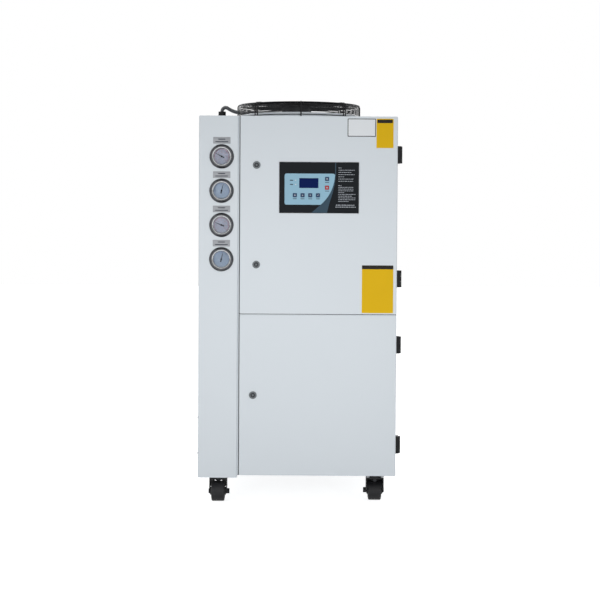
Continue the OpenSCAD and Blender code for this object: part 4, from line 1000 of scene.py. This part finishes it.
def build_caster_details():
    """Bolts through each plate, nuts on the kingpins and axles, moulded rings and ribs on the wheels."""
    bolts, kingpin_nuts = bmesh.new(), bmesh.new()
    kingpin_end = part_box("caster_plates")[0].z
    for name in CASTERS:
        fork_lo, fork_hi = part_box(name + "_fork")
        lo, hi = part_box(name + "_wheel")
        axle = Vector(((lo.x + hi.x) / 2, (lo.y + hi.y) / 2, (lo.z + hi.z) / 2))
        swivel_y = axle.y - (-TRAIL if name in SWUNG_FORWARDS else TRAIL)
        for x in PLATE_BOLT_XS:
            for y in PLATE_BOLT_YS:
                place = facing(axle.x + x, swivel_y + y, BOTTOM - CASTER_PLATE_T, "down")
                add_disc(bolts, PLATE_BOLT_R, PLATE_BOLT_H, place, steps=6)
        place = facing(axle.x, swivel_y, kingpin_end, "down")
        for steps, outline in KINGPIN_NUT:
            add_lathe(kingpin_nuts, in_mm(outline), place, steps)

        wheel = bmesh.new()
        for side, out in (("left", -1), ("right", 1)):
            face = facing(axle.x + out * WHEEL_HALF_W, axle.y, axle.z, side)
            add_hoop(wheel, face, WHEEL_RING_R, WHEEL_RING_WIRE, steps=48)
            for a in range(0, 360, 45):
                add_prism(wheel, WHEEL_RIB, face @ turned(a), WHEEL_RIB_T)
        slot_piece(name + "_wheel_ribs", wheel, "wheel_rubber", body=name + "_wheel")

        nut = bmesh.new()
        if axle.x < 0:
            face = facing(fork_hi.x - AXLE_NUT_SINK, axle.y, axle.z, "right")
        else:
            face = facing(fork_lo.x + AXLE_NUT_SINK, axle.y, axle.z, "left")
        add_lathe(nut, in_mm(AXLE_NUT), face, steps=6)
        piece(name + "_axle_nut", nut, "screw_dark_and_painted_shade", name + "_swivel")
    piece("caster_plate_bolts", bolts, "screw_steel")
    piece("kingpin_nuts", kingpin_nuts, "screw_dark_and_painted_shade")


# Machinery behind the doors

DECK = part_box("condenser_deck")[1].z
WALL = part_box("electrical_plate")[0].y
GEAR_FIRST_X = -185 * MM
DEVICES_IN_ROW = 5
DEVICE_H = 84 * MM
DEVICE_ROWS = (  # foot over the deck, pitch, width and depth of the face, in millimetres
    (115, 62, 45, 99.5),
    (345, 52, 36, 81.5),
)
DEVICE_PLATE_SHARE = 0.4  # of the device's width, to each side
DEVICE_PLATE_HALF_H = 9 * MM
DEVICE_PLATE_T = 0.8 * MM
TOGGLE_SHARE = 0.3
TOGGLE_HALF_H = 5 * MM
TOGGLE_LIFT = 2 * MM
TOGGLE_L = 8 * MM
WIRE_R = 1.5 * MM
WIRE_START = 4 * MM
WIRE_RISE = 12 * MM
WIRE_DROP = 8 * MM
WIRE_BEND = 16 * MM
TERMINAL_DEPTH = 26 * MM
DUCT_ZS = [DECK + height * MM for height in (40, 265, 490)]
DUCT_HALF_W = 215 * MM
DUCT_DEPTH = 55 * MM
DUCT_MIDDLE = 30 * MM
DUCT_H = 40 * MM
DUCT_LID_T = 2 * MM
DUCT_SLOTS = 36
DUCT_SLOT_END = 8 * MM
DUCT_SLOT_HALF_W = 2 * MM
DUCT_SLOT_FRONT = 6 * MM
DUCT_SLOT_T = 0.4 * MM


def build_devices():
    """Wires from the devices to the ducts, toggles on the breakers and a plate on each device."""
    duct_y = WALL - DUCT_MIDDLE
    wires = {"black": bmesh.new(), "blue": bmesh.new(), "red": bmesh.new()}
    toggles, plates = bmesh.new(), bmesh.new()
    for row, sizes in enumerate(DEVICE_ROWS):
        foot, pitch, width, depth = (v * MM for v in sizes)
        z = DECK + foot
        head = z + DEVICE_H
        terminal_y = WALL - depth + TERMINAL_DEPTH
        below, above = DUCT_ZS[row] + DUCT_H, DUCT_ZS[row + 1]
        for i in range(DEVICES_IN_ROW):
            x0 = GEAR_FIRST_X + i * pitch
            for k, colour in enumerate(wires):
                x = x0 + width * (k + 0.5) / 3
                up = [(x, terminal_y, head - WIRE_START), (x, terminal_y, head + WIRE_RISE),
                      (x, (terminal_y + duct_y) / 2, above - WIRE_BEND), (x, duct_y, above)]
                down = [(x, terminal_y, z + WIRE_START), (x, terminal_y, z - WIRE_DROP), (x, duct_y, below)]
                add_tube(wires[colour], up, WIRE_R, WIRE_SIDES)
                add_tube(wires[colour], down, WIRE_R, WIRE_SIDES)
            face = facing(x0 + width / 2, WALL - depth, z + DEVICE_H / 2)
            plate = bar(width * DEVICE_PLATE_SHARE, DEVICE_PLATE_HALF_H)
            add_prism(plates, plate, face, DEVICE_PLATE_T, bevel=0.2 * MM)
            if row:
                place = face @ moved(0, TOGGLE_LIFT, 0)
                add_prism(toggles, bar(width * TOGGLE_SHARE, TOGGLE_HALF_H), place, TOGGLE_L, bevel=1 * MM)
    for colour, material in (("black", "print_dark_and_painted_shade"), ("blue", "print_blue"), ("red", "print_red")):
        piece(colour + "_wires", wires[colour], material)
    slot_piece("breaker_toggles", toggles, "black_plastic")
    piece("device_plates", plates, "plate_white")


def build_ducts():
    """Lids on the wiring ducts, and dark strips along their edges as the painted shade of their slots."""
    front = WALL - DUCT_DEPTH
    slot_y0, slot_y1 = front + DUCT_SLOT_FRONT, WALL - DUCT_SLOT_END
    lids, slot_shades = bmesh.new(), bmesh.new()
    for z in DUCT_ZS:
        add_box(lids, (-DUCT_HALF_W, front - DUCT_LID_T, z), (DUCT_HALF_W, front, z + DUCT_H), bevel=0.8 * MM)
        for x in spaced(-DUCT_HALF_W + DUCT_SLOT_END, DUCT_HALF_W - DUCT_SLOT_END, DUCT_SLOTS):
            x0, x1 = x - DUCT_SLOT_HALF_W, x + DUCT_SLOT_HALF_W
            # Dark strips as the slots' painted shade
            for edge in (z - DUCT_SLOT_T, z + DUCT_H):
                add_box(slot_shades, (x0, slot_y0, edge), (x1, slot_y1, edge + DUCT_SLOT_T))
    piece("duct_lids", lids, "duct_grey")
    piece("duct_slot_shades", slot_shades, "print_dark_and_painted_shade")


CAN_X = 105 * MM
WELD_HEIGHTS = (70 * MM, 290 * MM)
CAN_COVER = ((-32, -104, 170), (32, -70, 250))  # corners from the can's foot, in millimetres
PUMP_BOX_PLACE = (110 * MM, 152 * MM)  # from the pump's lowest corner
PUMP_BOX = ((-42, -36, 0), (42, 36, 44))
PUMP_GLAND = ((40, 0, 20), (58, 0, 20))


def build_machine_details():
    """Weld beads and a terminal cover on the compressor, and a terminal box on the pump's motor."""
    lo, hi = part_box("compressor")
    can = Vector((hi.x - CAN_X, (lo.y + hi.y) / 2, lo.z))
    beads = bmesh.new()
    for height in WELD_HEIGHTS:
        add_hoop(beads, moved(can.x, can.y, can.z + height), radius=82 * MM, wire=1.6 * MM, steps=64)
    add_box(beads, *(can + Vector(c) * MM for c in CAN_COVER), bevel=5 * MM)
    slot_piece("compressor_details", beads, "black_paint")

    lo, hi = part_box("circulation_pump")
    y, z = PUMP_BOX_PLACE
    seat = Vector(((lo.x + hi.x) / 2, lo.y + y, lo.z + z))
    box = bmesh.new()
    add_box(box, *(seat + Vector(c) * MM for c in PUMP_BOX), bevel=4 * MM)
    add_rod(box, *(seat + Vector(c) * MM for c in PUMP_GLAND), radius=10 * MM, steps=6)
    slot_piece("pump_terminal_box", box, "black_plastic")


# Stage, light and camera

FLOOR_HALF = 30
WHITE = (1, 1, 1, 1)
FRONT_MIDDLE = (0.03, -0.5, 0.64)
SOFTBOXES = (  # name, place, target, width and height, power, spread of the beam in degrees
    ("key_light", (-1.5, -4.6, 0.9), FRONT_MIDDLE, (1.1, 1.1), 3.5, 42),
    ("fill_light", (1.7, -4.4, 0.8), FRONT_MIDDLE, (1.1, 1.1), 2.4, 42),
    ("top_light", (0.3, 0.6, 4.0), (0, 0, 1.0), (2.5, 2.5), 38, 180),
    ("rear_light", (-1.5, 4.5, 2.8), (0, 0.3, 0.7), (2.5, 2.2), 80, 180),
)
CAMERA_PLACE = (0.0076, -6.117, 0.8057)
CAMERA_PITCH = 1.704
CAMERA_ROLL = 0.34


def seen_rays(nodes, links):
    """Output that is 1 for rays from the camera, off gloss and through glass, and 0 for the rest."""
    path = nodes.new("ShaderNodeLightPath")
    seen = path.outputs["Is Camera Ray"]
    for ray in ("Is Glossy Ray", "Is Transmission Ray"):
        either = nodes.new("ShaderNodeMath")
        either.operation = "MAXIMUM"
        links.new(seen, either.inputs[0])
        join(links, path, ray, either, 1)
        seen = either.outputs["Value"]
    return seen


def build_floor():
    """Pale floor that keeps the shadow and turns white away from the object."""
    mesh = bpy.data.meshes.new("floor")
    corners = [(x, y, 0) for x, y in rect(-FLOOR_HALF, -FLOOR_HALF, FLOOR_HALF, FLOOR_HALF)]
    mesh.from_pydata(corners, [], [(0, 1, 2, 3)])
    floor = new_object("floor", mesh)
    mat = coat("floor_white", (0.80, 0.80, 0.80), 0.8, drift=(0.005, 5), gloss_drift=0.02)
    mesh.materials.append(mat)
    nodes, links = mat.node_tree.nodes, mat.node_tree.links
    far = nodes.new("ShaderNodeVectorMath")
    far.operation = "LENGTH"
    links.new(nodes["Texture Coordinate"].outputs["Object"], far.inputs[0])
    glow = nodes.new("ShaderNodeMapRange")
    fill(glow, {"From Min": 1.0, "From Max": 3.5, "To Min": 0.80, "To Max": 1.0})
    join(links, far, "Value", glow, "Value")
    level = nodes.new("ShaderNodeMath")
    level.operation = "MULTIPLY"
    join(links, glow, "Result", level, 0)
    links.new(seen_rays(nodes, links), level.inputs[1])
    shader = nodes["Principled BSDF"]
    fill(shader, {"Emission Color": WHITE})
    join(links, level, "Value", shader, "Emission Strength")


def build_surround():
    """World that lights the object softly and looks white."""
    world = bpy.data.worlds.new("surround")
    bpy.context.scene.world = world
    world.use_nodes = True
    nodes, links = world.node_tree.nodes, world.node_tree.links
    nodes.clear()
    light = nodes.new("ShaderNodeBackground")
    fill(light, {"Color": (0.95, 0.98, 1.0, 1), "Strength": 0.42})
    white = nodes.new("ShaderNodeBackground")
    fill(white, {"Color": WHITE})
    mix = nodes.new("ShaderNodeMixShader")
    out = nodes.new("ShaderNodeOutputWorld")
    links.new(seen_rays(nodes, links), mix.inputs["Fac"])
    join(links, light, "Background", mix, 1)
    join(links, white, "Background", mix, 2)
    join(links, mix, "Shader", out, "Surface")


def build_light():
    """Rectangular area lights, each aimed at a point."""
    for name, place, target, size, power, spread in SOFTBOXES:
        lamp = bpy.data.lights.new(name, "AREA")
        lamp.shape = "RECTANGLE"
        lamp.size, lamp.size_y = size
        lamp.energy = power
        lamp.spread = math.radians(spread)
        holder = new_object(name, lamp)
        holder.location = place
        holder.rotation_euler = (Vector(target) - Vector(place)).to_track_quat("-Z", "Y").to_euler()


def build_camera():
    """Camera where the photograph was taken from: a little above the middle, looking slightly down."""
    data = bpy.data.cameras.new("camera")
    data.sensor_width = 36
    data.lens = 107.9
    camera = new_object("camera", data)
    tilt = Matrix.Rotation(math.radians(90 - CAMERA_PITCH), 4, "X")
    camera.matrix_world = moved(*CAMERA_PLACE) @ tilt @ turned(CAMERA_ROLL)
    bpy.context.scene.camera = camera


build_camera()
build_floor()
build_surround()
build_light()
build_guard_rings()
build_guard_hoops()
build_guard_legs()
build_conduit()
build_condensers()
build_gauge_scales()
build_gauge_pointers()
build_gauge_rings()
build_name_plates()
build_control_panel()
build_keypad()
build_lock_wells()
build_blank_plates()
build_screws()
build_hinge_screws()
build_seals()
build_door_foam()
build_caster_details()
build_devices()
build_ducts()
build_machine_details()

bpy.context.scene.view_settings.view_transform = "Standard"
